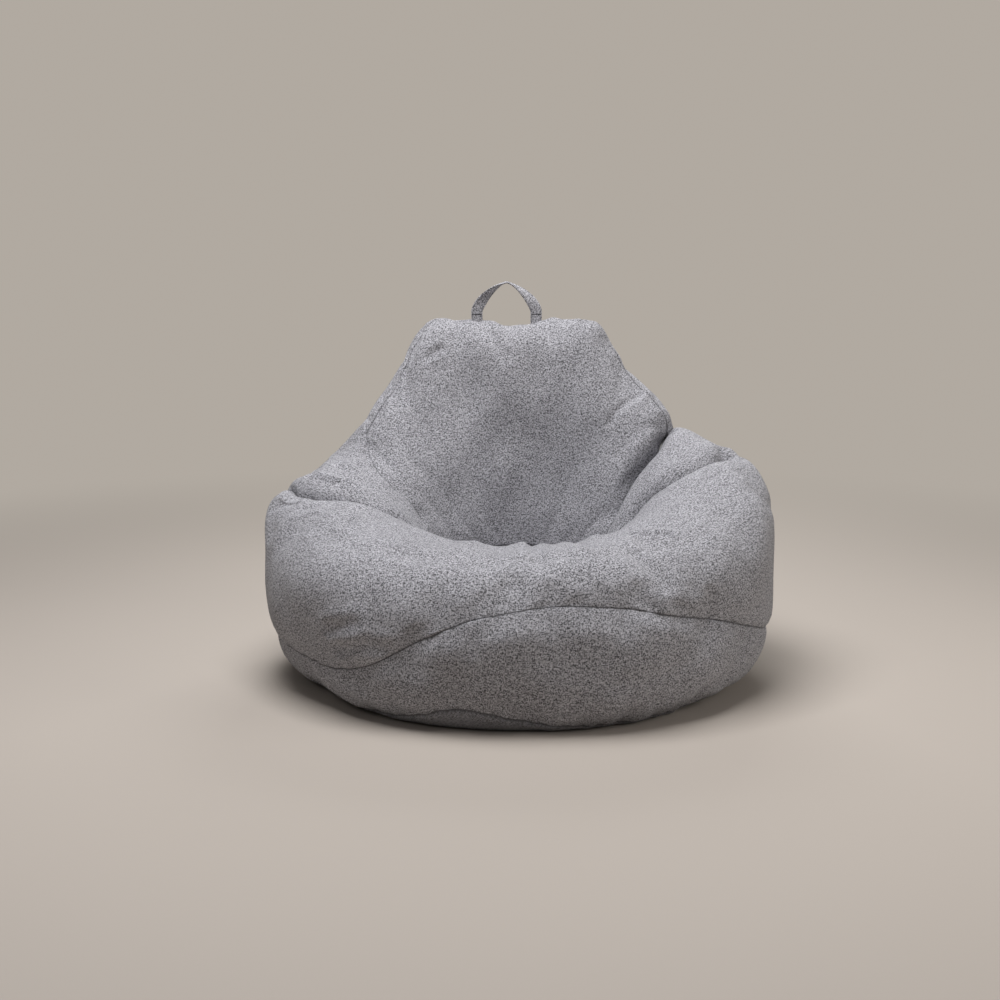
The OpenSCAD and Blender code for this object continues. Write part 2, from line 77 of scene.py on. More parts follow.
# One row for each direction: base radius, belly radius and height, crest radius and height, how far the
# curve rises over the belly, how far it leans out of and into the crest, and the hollow's foot
STATIONS = {
    -180: (BASE_R, HALF_D, ZIP_Z, 0.320, BACK_TOP - 0.005, 0.26, 0.07, 0.08, 0.200, 0.235),
    -165: (BASE_R, HALF_D, ZIP_Z, 0.333, BACK_TOP, 0.26, 0.07, 0.08, 0.200, 0.235),
    -150: (BASE_R, HALF_D, ZIP_Z, 0.383, BACK_TOP - 0.005, 0.26, 0.07, 0.08, 0.205, 0.235),
    -130: (BASE_R, HALF_D, ZIP_Z, 0.394, 0.600, 0.22, 0.075, 0.085, 0.210, 0.235),
    -110: (BASE_R, 0.535, 0.235, 0.428, 0.458, 0.15, 0.085, 0.095, 0.205, 0.235),
    -90: (BASE_R + 0.01, HALF_W, 0.235, 0.468, 0.405, 0.12, 0.095, 0.10, 0.20, 0.24),
    -60: (BASE_R + 0.02, 0.535, 0.205, 0.400, 0.345, 0.10, 0.10, 0.075, 0.19, 0.22),
    -30: (FRONT_BASE_R, 0.508, 0.175, 0.350, 0.320, 0.10, 0.09, 0.06, 0.18, 0.22),
    0: (FRONT_BASE_R, HALF_D, 0.175, 0.330, 0.318, 0.10, 0.09, 0.055, 0.17, 0.22),
    30: (FRONT_BASE_R, 0.510, 0.175, 0.350, 0.323, 0.10, 0.09, 0.06, 0.18, 0.22),
    60: (BASE_R + 0.03, 0.534, 0.205, 0.402, 0.370, 0.12, 0.10, 0.085, 0.18, 0.22),
    90: (BASE_R + 0.01, HALF_W - 0.004, 0.235, 0.450, 0.458, 0.16, 0.10, 0.12, 0.205, 0.235),
    110: (BASE_R, 0.538, 0.235, 0.428, 0.497, 0.18, 0.085, 0.10, 0.205, 0.235),
    130: (BASE_R, HALF_D, ZIP_Z, 0.386, 0.600, 0.22, 0.07, 0.085, 0.210, 0.235),
    150: (BASE_R, HALF_D, ZIP_Z, 0.346, BACK_TOP - 0.005, 0.26, 0.07, 0.08, 0.205, 0.235),
    165: (BASE_R, HALF_D, ZIP_Z, 0.326, BACK_TOP, 0.26, 0.07, 0.08, 0.200, 0.235),
    180: (BASE_R, HALF_D, ZIP_Z, 0.320, BACK_TOP - 0.005, 0.26, 0.07, 0.08, 0.200, 0.235),
}

# How far up each section the seams run: 0 is the floor, 1 the belly, 2 the crest, 3 the hollow's foot
RING_SEAM = {
    -180: 1, -134: 1, -100: 0.74, -75: 0.62, -52: 0.64, -41: 0.72, -23: 1.02, -10: 1.2, 5: 1.29,
    20: 1.25, 31: 1.16, 48: 0.98, 60: 0.84, 78: 0.70, 100: 0.74, 134: 1, 180: 1,
}
BASE_SEAM = {-180: 0.1, -60: 0.1, -35: 0.2, -14: 0.46, 3: 0.26, 25: 0.12, 60: 0.1, 180: 0.1}
# Where the seams between panels stand round the bag, by height up the section
LEFT_ARM_SEAM = {0: -97, 1.5: -97, 2: -88, 2.2: -83, 2.5: -82, 2.8: -87, 3.2: -90, 4: -90}
RIGHT_ARM_SEAM = {0: 97, 1.5: 100, 1.85: 101, 2.05: 96, 2.4: 91, 2.8: 98, 3.2: 99, 4: 99}
RIGHT_BACK_SEAM = {0: 128, 1.4: 128, 1.92: 119, 2.15: 117.5, 2.3: 116, 2.6: 118, 3: 120, 4: 120}
LEFT_BACK_SEAM = {0: -128, 1.6: -128, 1.95: -120, 2.2: -112, 2.5: -106, 2.8: -113, 3.1: -116, 4: -116}

# Grid lines between the seams, at the simulation's size; the finished cloth has twice as many
FRONT_COLS, WING_COLS, BACK_COLS = 144, 24, 96
BASE_ROWS, GUSSET_ROWS, OUTER_ROWS, INNER_ROWS, SEAT_ROWS = 14, 28, 34, 38, 14
FINE = 2
CLUSTER = 0.7
POLE_GAP = 0.02


def smooth_table(table, x, period=None):
    """Values at x on a smooth curve that never overshoots the table's own points."""
    keys = np.array(sorted(table), float)
    values = np.array([table[k] for k in sorted(table)], float)
    if values.ndim == 1:
        values = values[:, None]
    slope = np.diff(values, axis=0) / np.diff(keys)[:, None]
    if period:
        before, after = np.vstack([slope[-1:], slope]), np.vstack([slope, slope[:1]])
    else:
        flat = np.zeros_like(slope[:1])
        before, after = np.vstack([flat, slope]), np.vstack([slope, flat])
    same = before * after > 0
    mean = np.where(same, 2 * before * after / np.where(same, before + after, 1), 0)
    x = np.asarray(x, float)
    if period:
        x = (x - keys[0]) % period + keys[0]
    k = np.clip(np.searchsorted(keys, x, "right") - 1, 0, len(keys) - 2)
    step = (keys[k + 1] - keys[k])[..., None]
    t = np.clip((x - keys[k])[..., None] / step, 0, 1)
    out = (
        (2 * t**3 - 3 * t**2 + 1) * values[k]
        + (t**3 - 2 * t**2 + t) * step * mean[k]
        + (3 * t**2 - 2 * t**3) * values[k + 1]
        + (t**3 - t**2) * step * mean[k + 1]
    )
    return out[..., 0] if out.shape[-1] == 1 else out


def bezier(a, b, c, d, t):
    return (1 - t) ** 3 * a + 3 * (1 - t) ** 2 * t * b + 3 * (1 - t) * t**2 * c + t**3 * d


def section(u, t):
    """Radius and height at t on the section that faces angle u."""
    s = smooth_table(STATIONS, u, 360)
    base, belly, belly_z, crest, crest_z, rise, lean_out, lean_in, foot, foot_z = np.moveaxis(s, -1, 0)
    curves = (
        ((base, 0 * base), (base + 0.55 * (belly - base) + 0.02, 0 * base), (belly, 0.45 * belly_z)),
        ((belly, belly_z), (belly, belly_z + rise), (crest + lean_out, crest_z)),
        ((crest, crest_z), (crest - lean_in, crest_z), (foot + HOLLOW_LEAN, foot_z + HOLLOW_RISE)),
        ((foot, foot_z), (foot - 0.03, foot_z - 0.05), (0 * foot + 0.06, 0 * foot + SEAT_Z)),
    )
    ends = ((belly, belly_z), (crest, crest_z), (foot, foot_z), (0 * foot, 0 * foot + SEAT_Z))
    r, z = base * (1 + t), 0 * base
    for k, (curve, end) in enumerate(zip(curves, ends)):
        f = np.clip(t - k, 0, 1)
        on = t >= k
        r = np.where(on, bezier(*[p[0] for p in curve], end[0], f), r)
        z = np.where(on, bezier(*[p[1] for p in curve], end[1], f), z)
    return r, z


def steps(n, ends=CLUSTER):
    """n shares from 0 up to 1, closer together near both ends, where the seams are."""
    f = np.arange(n) / n
    return f - ends * np.sin(2 * math.pi * f) / (2 * math.pi)


def row_shares(scale):
    """Rows as (sector, share) pairs, from the middle of the base to the middle of the seat."""
    counts = (BASE_ROWS, GUSSET_ROWS, OUTER_ROWS, INNER_ROWS, SEAT_ROWS)
    ends = (0.5, CLUSTER, 0.6, 0.4, 0.3)
    shares = np.concatenate([k + steps(n * scale, e) for k, (n, e) in enumerate(zip(counts, ends))])
    return np.append(shares, 5)


def grid(scale):
    """Angle and height share of every grid point, columns first."""
    sectors = (FRONT_COLS, WING_COLS, BACK_COLS, WING_COLS)
    a = np.concatenate([k + steps(n * scale) for k, n in enumerate(sectors)])
    around = {0: LEFT_ARM_SEAM[0], 1: RIGHT_ARM_SEAM[0], 2: RIGHT_BACK_SEAM[0], 3: 360 + LEFT_BACK_SEAM[0], 4: 263}
    nominal = np.interp(a, list(around), list(around.values()))
    ring = smooth_table(RING_SEAM, nominal, 360)
    low = smooth_table(BASE_SEAM, nominal, 360)
    stops = np.array([ring * 0 - 1 + POLE_GAP, low, ring, ring * 0 + 2, ring * 0 + 3, ring * 0 + 4 - POLE_GAP])
    b = row_shares(scale)
    k = np.minimum(b.astype(int), 4)
    t = stops[k].T + (stops[k + 1] - stops[k]).T * (b - k)
    lines = [smooth_table(s, t) for s in (LEFT_ARM_SEAM, RIGHT_ARM_SEAM, RIGHT_BACK_SEAM)]
    lines.append(360 + smooth_table(LEFT_BACK_SEAM, t))
    lines.append(360 + lines[0])
    lines = np.stack(lines)
    sector = a.astype(int)
    share = (a - sector)[:, None]
    i, j = np.indices(t.shape)
    u = lines[sector[i], i, j] * (1 - share) + lines[sector[i] + 1, i, j] * share
    return u, t


def place(u, t):
    r, z = section(u, t)
    turn = np.radians(u)
    return np.stack([r * np.sin(turn), -r * np.cos(turn), z], -1)


# ---- Grid lines that are seams ----
def seam_lines(scale):
    cols = np.cumsum([0, FRONT_COLS, WING_COLS, BACK_COLS]) * scale
    rows = np.cumsum([BASE_ROWS, GUSSET_ROWS, OUTER_ROWS, INNER_ROWS]) * scale
    return dict(zip(("left_arm", "right_arm", "right_back", "left_back"), cols)), dict(
        zip(("base", "ring", "crest", "seat"), rows)
    )


def normals(points):
    """Outward normals of the grid."""
    along = np.roll(points, -1, 0) - np.roll(points, 1, 0)
    up = np.gradient(points, axis=1)
    n = np.cross(along, up)
    return n / np.maximum(np.linalg.norm(n, axis=-1, keepdims=True), 1e-12)


def from_row(points, j):
    """Distance of every grid point up or down the cloth from row j."""
    step = np.linalg.norm(np.diff(points, axis=1), axis=-1)
    run = np.concatenate([np.zeros_like(step[:, :1]), np.cumsum(step, axis=1)], axis=1)
    return run - run[:, j : j + 1]


def from_col(points, i):
    """Distance of every grid point round the bag from column i, whichever way is shorter."""
    points = np.roll(points, len(points) // 2 - i, axis=0)
    step = np.linalg.norm(np.diff(points, axis=0), axis=-1)
    run = np.concatenate([np.zeros_like(step[:1]), np.cumsum(step, axis=0)], axis=0)
    run = run - run[len(points) // 2]
    return np.roll(run, i - len(points) // 2, axis=0)


def along_row(points, j):
    """Distance round the bag along row j."""
    step = np.linalg.norm(np.roll(points[:, j], -1, 0) - points[:, j], axis=-1)
    return np.cumsum(step) - step


def run_of(line):
    """Distance along a line of points from its first."""
    return np.concatenate([[0], np.cumsum(np.linalg.norm(np.diff(line, axis=0), axis=1))])


def ramp(x, low, high):
    """0 up to low, 1 from high, smooth between."""
    f = np.clip((x - low) / (high - low), 0, 1)
    return f * f * (3 - 2 * f)


def wobble(x, wavelength, seed):
    """Smooth uneven waves from -1 to 1 along x."""
    knots = np.random.default_rng(seed).uniform(-1, 1, 997)
    f = np.asarray(x) / wavelength * 2
    k = np.floor(f).astype(int)
    f = f - k
    f = f * f * (3 - 2 * f)
    return knots[k % 997] * (1 - f) + knots[(k + 1) % 997] * f


def lumps(points, wavelength, seed, waves=18):
    """Soft uneven swells, about -1 to 1, from plain waves in every direction."""
    rng = np.random.default_rng(seed)
    out = np.zeros(points.shape[:-1])
    for _ in range(waves):
        direction = rng.normal(size=3)
        direction /= np.linalg.norm(direction)
        length = wavelength * rng.uniform(0.7, 1.4)
        out += np.cos(points @ direction * 2 * math.pi / length + rng.uniform(0, 2 * math.pi))
    return out / math.sqrt(waves)


# ---- Seams, creases and dents ----
# Half the angle of the back's top seam, and how far a stitched groove and a fold's sharp line reach
BACK_HALF = 62
GROOVE_REACH, LINE_REACH = 0.003, 0.006


def behind(u):
    """Angle from the middle of the back."""
    return np.abs((u + 360) % 360 - 180)


def zip_zone(u, t):
    """1 where the cloth has to keep to the zips' own curve, 0 elsewhere."""
    return ramp(-behind(u), -54, -46) * ramp(t, 0.3, 0.45) * ramp(-t, -1.25, -1.08)


def seams(points, u, t, scale):
    """How far each point is drawn in towards the seams, and the puckers beside them."""
    cols, rows = seam_lines(scale)
    out = np.zeros(t.shape)
    free = 1 - zip_zone(u, t)

    def gather(run, across, size, reach, wavelength, seed):
        tilt = run + 0.35 * across * wobble(run, 0.11, seed + 1)
        return size * (wobble(tilt, wavelength, seed) - 0.3) * np.exp(-np.abs(across) / reach)

    # Depth and width of the fold at each seam, depths of the sharp line in it and of the seam, puckers' seed
    folds = {
        "left_arm": (0.028, 0.017, 0.015, 0.0035, 3),
        "right_arm": (0.042, 0.017, 0.022, 0.0035, 5),
        "left_back": (0.004, 0.030, 0.000, 0.0015, 7),
        "right_back": (0.040, 0.018, 0.020, 0.0035, 9),
    }
    for name, (deep, wide, line, stitched, seed) in folds.items():
        across = from_col(points, cols[name])
        run = run_of(points[cols[name]])[None, :]
        sewn = ramp(t, 0.95, 1.05) * ramp(-t, -3.0, -2.92)
        fold = ramp(t, 1.55, 1.95) * ramp(-t, -2.95, -2.6)
        away = np.abs(across)
        out -= fold * deep * np.exp(-((away / wide) ** 1.3))
        out -= fold * line * np.exp(-away / LINE_REACH)
        out -= sewn * stitched * np.exp(-away / GROOVE_REACH)
        out += sewn * gather(run, across, 0.0030, 0.022, 0.034, seed)
    levels = (
        ("base", np.ones(t.shape), 0.004, 21),
        ("ring", np.ones(t.shape), 0.0045, 23),
        ("crest", ramp(np.abs(u - 180), -60, -54) * ramp(-np.abs(u - 180), -BACK_HALF, -57), 0.005, 25),
        ("seat", np.ones(t.shape), 0.004, 27),
    )
    for name, where, deep, seed in levels:
        across = from_row(points, rows[name])
        run = along_row(points, rows[name])[:, None]
        out -= where * deep * np.exp(-np.abs(across) / GROOVE_REACH)
        out += where * gather(run, across, 0.0026, 0.026, 0.04, seed) * (t > -0.02)
    return out * free


# Creases and dents: points as (angle, height up the section), then width, depth and the ridge beside it
CREASES = (
    (((186, 2.0), (180, 2.0), (174, 2.0)), 0.022, 0.009, 0.0),
    (((40, 2.08), (46, 1.92)), 0.008, 0.007, 0.003),
    (((27, 1.35), (33, 1.40)), 0.022, 0.007, 0.0),
    (((55, 0.80), (57, 0.74)), 0.030, 0.007, 0.0),
    (((-141, 2.20), (-147, 2.26)), 0.009, 0.006, 0.002),
    (((129, 2.10), (131, 2.24), (134, 2.42)), 0.008, 0.005, 0.001),
    (((136, 2.06), (138, 2.18)), 0.007, 0.004, 0.0),
    (((121, 2.20), (124, 2.36), (126, 2.50)), 0.014, 0.005, 0.0),
    (((-96, 1.98), (-93, 2.16), (-91, 2.32)), 0.009, 0.011, 0.006),
    (((-104, 2.05), (-101, 2.20)), 0.010, 0.007, 0.004),
    (((104, 1.86), (103, 1.94)), 0.006, 0.004, 0.0),
    (((-60, 1.95), (-64, 2.08)), 0.010, 0.005, 0.003),
    (((-43, 0.86), (-36, 0.94), (-30, 0.96)), 0.012, 0.006, 0.004),
    (((-45, 0.98), (-38, 1.06)), 0.012, 0.005, 0.004),
    (((20, 0.72), (38, 0.80)), 0.020, 0.004, 0.0),
    (((150, 1.45), (158, 1.62), (163, 1.80)), 0.016, 0.008, 0.004),
    (((-150, 1.42), (-160, 1.58)), 0.016, 0.007, 0.003),
    (((-172, 1.66), (176, 1.74)), 0.018, 0.006, 0.0),
    (((120, 1.35), (112, 1.55), (108, 1.72)), 0.014, 0.008, 0.004),
    (((-120, 1.38), (-112, 1.58)), 0.014, 0.007, 0.003),
    (((88, 1.30), (80, 1.50)), 0.020, 0.006, 0.0),
    (((-78, 1.40), (-84, 1.58)), 0.018, 0.006, 0.003),
    (((-165, 2.18), (-172, 2.30)), 0.020, 0.006, 0.0),
    (((168, 2.12), (163, 2.22)), 0.018, 0.005, 0.0),
)


def creases(points):
    """How far each point moves for the listed creases and dents."""
    out = np.zeros(points.shape[:2])
    for line, width, depth, ridge in CREASES:
        u, t = np.array(line, float).T
        share = np.linspace(0, len(u) - 1, 12)
        knots = np.arange(len(u))
        path = place(np.interp(share, knots, u), np.interp(share, knots, t))
        best = np.full(points.shape[:2], 9.0)
        for a, b in zip(path[:-1], path[1:]):
            d = b - a
            f = np.clip(((points - a) @ d) / (d @ d), 0, 1)
            best = np.minimum(best, np.linalg.norm(points - a - f[..., None] * d, axis=-1))
        out -= depth * np.exp(-((best / width) ** 2))
        out += ridge * np.exp(-(((best - 2 * width) / width) ** 2))
    return out


def rim_puckers(u, t):
    """The short soft folds that stand across the front rim."""
    near = ramp(-np.abs(u - 1), -42, -24) * ramp(t, 1.45, 1.85) * ramp(-t, -2.75, -2.35)
    return 0.0065 * near * wobble(u * 0.0058, 0.05, 31)


# ---- Cloth simulation ----
SIM_FRAMES = 22
MOST_PUFF = 0.016
PRESSURE = 4.0
# Weaker puff on the inner side of the rim
INNER_LOSS = 0.55


def grid_mesh(name, points):
    """A closed mesh on a grid that joins up round the bag, with its two poles capped."""
    cols, rows = points.shape[:2]
    verts = points.reshape(-1, 3).tolist() + [points[:, 0].mean(0).tolist(), points[:, -1].mean(0).tolist()]
    i, j = np.meshgrid(np.arange(cols), np.arange(rows - 1), indexing="ij")
    nxt = (i + 1) % cols
    quads = np.stack([i * rows + j, nxt * rows + j, nxt * rows + j + 1, i * rows + j + 1], -1).reshape(-1, 4)
    low, high = cols * rows, cols * rows + 1
    caps = []
    for k in range(cols):
        n = (k + 1) % cols
        caps.append((n * rows, k * rows, low))
        caps.append((k * rows + rows - 1, n * rows + rows - 1, high))
    mesh = bpy.data.meshes.new(name)
    mesh.from_pydata(verts, [], quads.tolist() + caps)
    mesh.update()
    return mesh


def puff(points, u, t, scale):
    """Lets the filling push the cloth out between its seams. Returns how far each point moved."""
    cols, rows = seam_lines(scale)
    held = np.zeros(points.shape[:2])
    held[:, [rows["base"], rows["ring"], rows["seat"]]] = 1
    for k in cols.values():
        held[k, rows["ring"] :] = 1
    held[:, : rows["base"]] = 1
    held = np.maximum(held, zip_zone(u, t))
    held[(behind(u) < BACK_HALF) & (np.abs(t - 2) < 0.02)] = 1
    cover = bpy.data.objects.new("cover_cloth", grid_mesh("cover_cloth", points))
    SCENE.collection.objects.link(cover)
    sewn = cover.vertex_groups.new(name="sewn")
    flat = held.reshape(-1)
    for weight in np.unique(np.round(flat, 1)):
        if weight > 0:
            sewn.add(np.flatnonzero(np.round(flat, 1) == weight).tolist(), float(weight), "REPLACE")
    cloth = cover.modifiers.new("Cloth", "CLOTH")
    settings = cloth.settings
    settings.quality = 5
    settings.mass = 0.25
    settings.tension_stiffness = 18
    settings.compression_stiffness = 12
    settings.shear_stiffness = 6
    settings.bending_stiffness = 0.6
    settings.use_pressure = True
    settings.uniform_pressure_force = PRESSURE
    settings.shrink_min = -0.025
    settings.vertex_group_mass = "sewn"
    settings.effector_weights.gravity = 0
    cloth.point_cache.frame_start = 1
    cloth.point_cache.frame_end = SIM_FRAMES
    for f in range(1, SIM_FRAMES + 1):
        SCENE.frame_set(f)
    view = cover.evaluated_get(bpy.context.evaluated_depsgraph_get())
    moved = np.empty(len(view.data.vertices) * 3)
    view.data.vertices.foreach_get("co", moved)
    moved = moved.reshape(-1, 3)[:-2].reshape(points.shape) - points
    SCENE.frame_set(1)
    bpy.data.objects.remove(cover)
    moved[~np.isfinite(moved)] = 0
    size = np.linalg.norm(moved, axis=-1, keepdims=True)
    moved *= np.tanh(size / MOST_PUFF) * MOST_PUFF / np.maximum(size, 1e-9)
    inner = 1 - INNER_LOSS * ramp(t, 2.0, 2.4)
    return moved * ((1 - zip_zone(u, t)) * inner)[..., None]


def finer(field):
    """The same field on the finished cloth's grid: one more line between each pair."""
    between = (field + np.roll(field, -1, 0)) / 2
    out = np.empty((field.shape[0] * 2,) + field.shape[1:])
    out[0::2], out[1::2] = field, between
    middle = (out[:, :-1] + out[:, 1:]) / 2
    full = np.empty((out.shape[0], out.shape[1] * 2 - 1) + out.shape[2:])
    full[:, 0::2], full[:, 1::2] = out, middle
    soft = full.copy()
    soft[:, 1:-1] = full[:, 1:-1] / 2 + (full[:, :-2] + full[:, 2:]) / 4
    return soft / 2 + (np.roll(soft, 1, 0) + np.roll(soft, -1, 0)) / 4


def soft_shape(scale):
    """The base shape with its swells and its seams drawn in, and the grid's angles and heights."""
    u, t = grid(scale)
    points = place(u, t)
    out = normals(points)
    free = (1 - zip_zone(u, t)) * ramp(t, 0.0, 0.35)
    swell = 0.0055 * lumps(points, 0.30, 41) + 0.0022 * lumps(points, 0.12, 43)
    points = points + out * (swell * free)[..., None]
    return points, u, t


def drawn_in(points, u, t, scale):
    out = normals(points)
    depth = seams(points, u, t, scale) + creases(points) * (1 - zip_zone(u, t)) + rim_puckers(u, t)
    return points + out * depth[..., None]


coarse, coarse_u, coarse_t = soft_shape(1)
coarse = drawn_in(coarse, coarse_u, coarse_t, 1)
puffed = puff(coarse, coarse_u, coarse_t, 1)
cover, cover_u, cover_t = soft_shape(FINE)
cover = drawn_in(cover, cover_u, cover_t, FINE) + finer(puffed)
cover[..., 2] = np.maximum(cover[..., 2], 0)
COLS, ROWS = seam_lines(FINE)

# The slot for the zip: the cloth stands back from the zip's circle above and below it
SLOT_H = 0.013
SLOT_ANGLE = 40
SLOT_END = 2.5
SLOT_REACH = 0.012
PANEL_T = 0.0018
# How far the dark line along a seam reaches, and how much of it shows at a seam that lies flat: partly dark seam
# thread, partly painted shade in the seam's groove
SEAM_PAINTED_SHADE_REACH = 0.0022
FAINT_PAINTED_SEAM_SHADE = 0.25


def open_slot(points, u, side):
    """Points of the back with the ring seam's edge moved to the slot's upper (1) or lower (-1) edge."""
    away = np.abs(from_row(points, ROWS["ring"]))
    share = ramp(-behind(u), -SLOT_ANGLE, -SLOT_ANGLE + SLOT_END) * np.exp(-away / SLOT_REACH)
    out = points.copy()
    out[..., 2] += side * SLOT_H / 2 * share
    return out


# ---- Panels ----
def cut(field, cols, rows):
    """The part of a grid between two seam columns and two seam rows."""
    around = np.arange(cols[0], cols[1] + 1) % field.shape[0]
    return field[around][:, rows[0] : rows[1] + 1]


PATTERN_SKIP, PATTERN_ROUNDS = 8, 30


def spread(field, at, count):
    """Values on every line along the first axis, from those on the lines at."""
    lines = [np.interp(np.arange(count), at, values) for values in field.reshape(len(at), -1).T]
    return np.stack(lines, -1).reshape((count,) + field.shape[1:])


def unwrap(points, whole):
    """Flat pattern of a panel in metres, from a coarse copy of it. whole says that it closes round the bag."""
    skip = PATTERN_SKIP
    i = np.unique(np.append(np.arange(0, points.shape[0], skip), points.shape[0] - 1))
    j = np.unique(np.append(np.arange(0, points.shape[1], skip), points.shape[1] - 1))
    small = points[i][:, j]
    n, m = small.shape[:2]
    bm = bmesh.new()
    last = n - 1 if whole else n
    verts = [[bm.verts.new(p) for p in row] for row in small[:last]]
    for a in range(n - 1):
        for b in range(m - 1):
            c = (a + 1) % last if whole else a + 1
            bm.faces.new((verts[a][b], verts[c][b], verts[c][b + 1], verts[a][b + 1]))
    bm.verts.index_update()
    mesh = bpy.data.meshes.new("pattern")
    bm.to_mesh(mesh)
    bm.free()
    pattern = bpy.data.objects.new("pattern", mesh)
    SCENE.collection.objects.link(pattern)
    only(pattern)
    bpy.ops.object.mode_set(mode="EDIT")
    bpy.ops.mesh.select_all(action="SELECT")
    bpy.ops.uv.unwrap(method="MINIMUM_STRETCH", iterations=PATTERN_ROUNDS, margin=0)
    bpy.ops.object.mode_set(mode="OBJECT")
    flat = np.zeros((len(mesh.vertices), 2))
    uv = np.empty(len(mesh.loops) * 2)
    mesh.uv_layers.active.data.foreach_get("uv", uv)
    vert = np.empty(len(mesh.loops), int)
    mesh.loops.foreach_get("vertex_index", vert)
    flat[vert] = uv.reshape(-1, 2)
    area = sum(p.area for p in mesh.polygons)
    corner = flat[[list(p.vertices) for p in mesh.polygons]]
    d1, d2 = corner[:, 2] - corner[:, 0], corner[:, 3] - corner[:, 1]
    flat_area = np.abs(d1[:, 0] * d2[:, 1] - d1[:, 1] * d2[:, 0]).sum() / 2
    flat = (flat * math.sqrt(area / flat_area)).reshape(last, m, 2)
    if whole:
        flat = np.concatenate([flat, flat[:1]])
    bpy.data.objects.remove(pattern)
    bpy.data.meshes.remove(mesh)
    wide = spread(flat, i, points.shape[0])
    return spread(wide.swapaxes(0, 1), j, points.shape[1]).swapaxes(0, 1)


def only(obj):
    """Selects one object and nothing else."""
    bpy.ops.object.select_all(action="DESELECT")
    obj.select_set(True)
    bpy.context.view_layer.objects.active = obj


def lay_uv(mesh, uv):
    """Gives a mesh its cloth map, from one place for each vertex."""
    layer = mesh.uv_layers.new(name="cloth")
    vert = np.empty(len(mesh.loops), int)
    mesh.loops.foreach_get("vertex_index", vert)
    layer.data.foreach_set("uv", np.asarray(uv)[vert].reshape(-1))


def make(name, verts, faces, uv=None, smooth=40):
    """An object from points and faces, shaded smooth but for its edges."""
    mesh = bpy.data.meshes.new(name)
    mesh.from_pydata(np.asarray(verts).tolist(), [], faces)
    mesh.update()
    if uv is not None:
        lay_uv(mesh, uv)
    obj = bpy.data.objects.new(name, mesh)
    SCENE.collection.objects.link(obj)
    if smooth:
        only(obj)
        bpy.ops.object.shade_smooth_by_angle(angle=math.radians(smooth))
    return obj


def seam_thread_and_painted_shade(points, pole, faint):
    """1 at a panel's seams, falling to 0 a few millimetres away: how far the colour is darkened there, partly dark
    seam thread, partly painted shade in the groove. faint: that side's line hardly shows.
    """

    def both_ways(axis):
        step = np.linalg.norm(np.diff(points, axis=axis), axis=-1)
        run = np.insert(np.cumsum(step, axis), 0, 0, axis)
        return run, run.max(axis, keepdims=True) - run

    low, high = both_ways(1)
    sides = {"low": [high], "high": [low], None: [low, high, *both_ways(0)]}[pole]
    lines = [np.exp(-((away / SEAM_PAINTED_SHADE_REACH) ** 2)) for away in sides]
    if faint is not None:
        lines[faint] = lines[faint] * FAINT_PAINTED_SEAM_SHADE
    return np.maximum.reduce(lines)


def shell(name, points, out, pole, faint):
    """A closed sheet of cloth on a grid. A pole, "low" or "high", closes the first or last row's middle."""
    whole = pole is not None
    flat = unwrap(points, whole)
    shade = seam_thread_and_painted_shade(points, pole, faint)
    if whole:
        points, out, flat, shade = points[:-1], out[:-1], flat[:-1], shade[:-1]
    n, m = points.shape[:2]
    i, j = np.meshgrid(np.arange(n if whole else n - 1), np.arange(m - 1), indexing="ij")
    nxt = (i + 1) % n
    quads = np.stack([i * m + j, nxt * m + j, nxt * m + j + 1, i * m + j + 1], -1).reshape(-1, 4)
    size = n * m
    verts = [points.reshape(-1, 3), (points - out * PANEL_T).reshape(-1, 3)]
    faces = quads.tolist() + (quads[:, ::-1] + size).tolist()
    uv = [flat.reshape(-1, 2)] * 2
    border = []
    if not whole:
        border += [(a, a + 1) for a in range(m - 1)]
        border += [((n - 1) * m + a + 1, (n - 1) * m + a) for a in range(m - 1)]
    round_low = [(a * m, (a + 1) % n * m) for a in range(n if whole else n - 1)]
    round_high = [(a + m - 1, b + m - 1) for a, b in round_low]
    if pole != "low":
        border += [(b, a) for a, b in round_low]
    if pole != "high":
        border += round_high
    for a, b in border:
        faces.append((a, b, b + size, a + size))
    if whole:
        ring, row = (round_low, 0) if pole == "low" else (round_high, -1)
        verts += [points[:, row].mean(0)[None], (points - out * PANEL_T)[:, row].mean(0)[None]]
        uv += [flat[:, row].mean(0)[None]] * 2
        for a, b in ring:
            first, second = (b, a) if pole == "low" else (a, b)
            faces.append((first, second, 2 * size))
            faces.append((second + size, first + size, 2 * size + 1))
    obj = make(name, np.concatenate(verts), faces, np.concatenate(uv))
    # The seam attribute carries the darkening at the seams: partly dark seam thread, partly painted shade in the
    # groove.
    layer = obj.data.attributes.new("seam", "FLOAT", "POINT")
    values = np.zeros(len(obj.data.vertices))
    values[: 2 * size] = np.tile(shade.reshape(-1), 2)
    layer.data.foreach_set("value", values)
    return obj


FULL = len(cover)
right, left = COLS["right_arm"], COLS["left_arm"] + FULL
last_row = cover.shape[1] - 1
lower_edge, upper_edge = open_slot(cover, cover_u, -1), open_slot(cover, cover_u, 1)
# Panels at the left back seam, which lies flat, so its painted seam shade is faint: 2 is a panel's first column, 3
# its last
FLAT_SEAM = {"left_wing_panel": 2, "backrest_panel": 3}
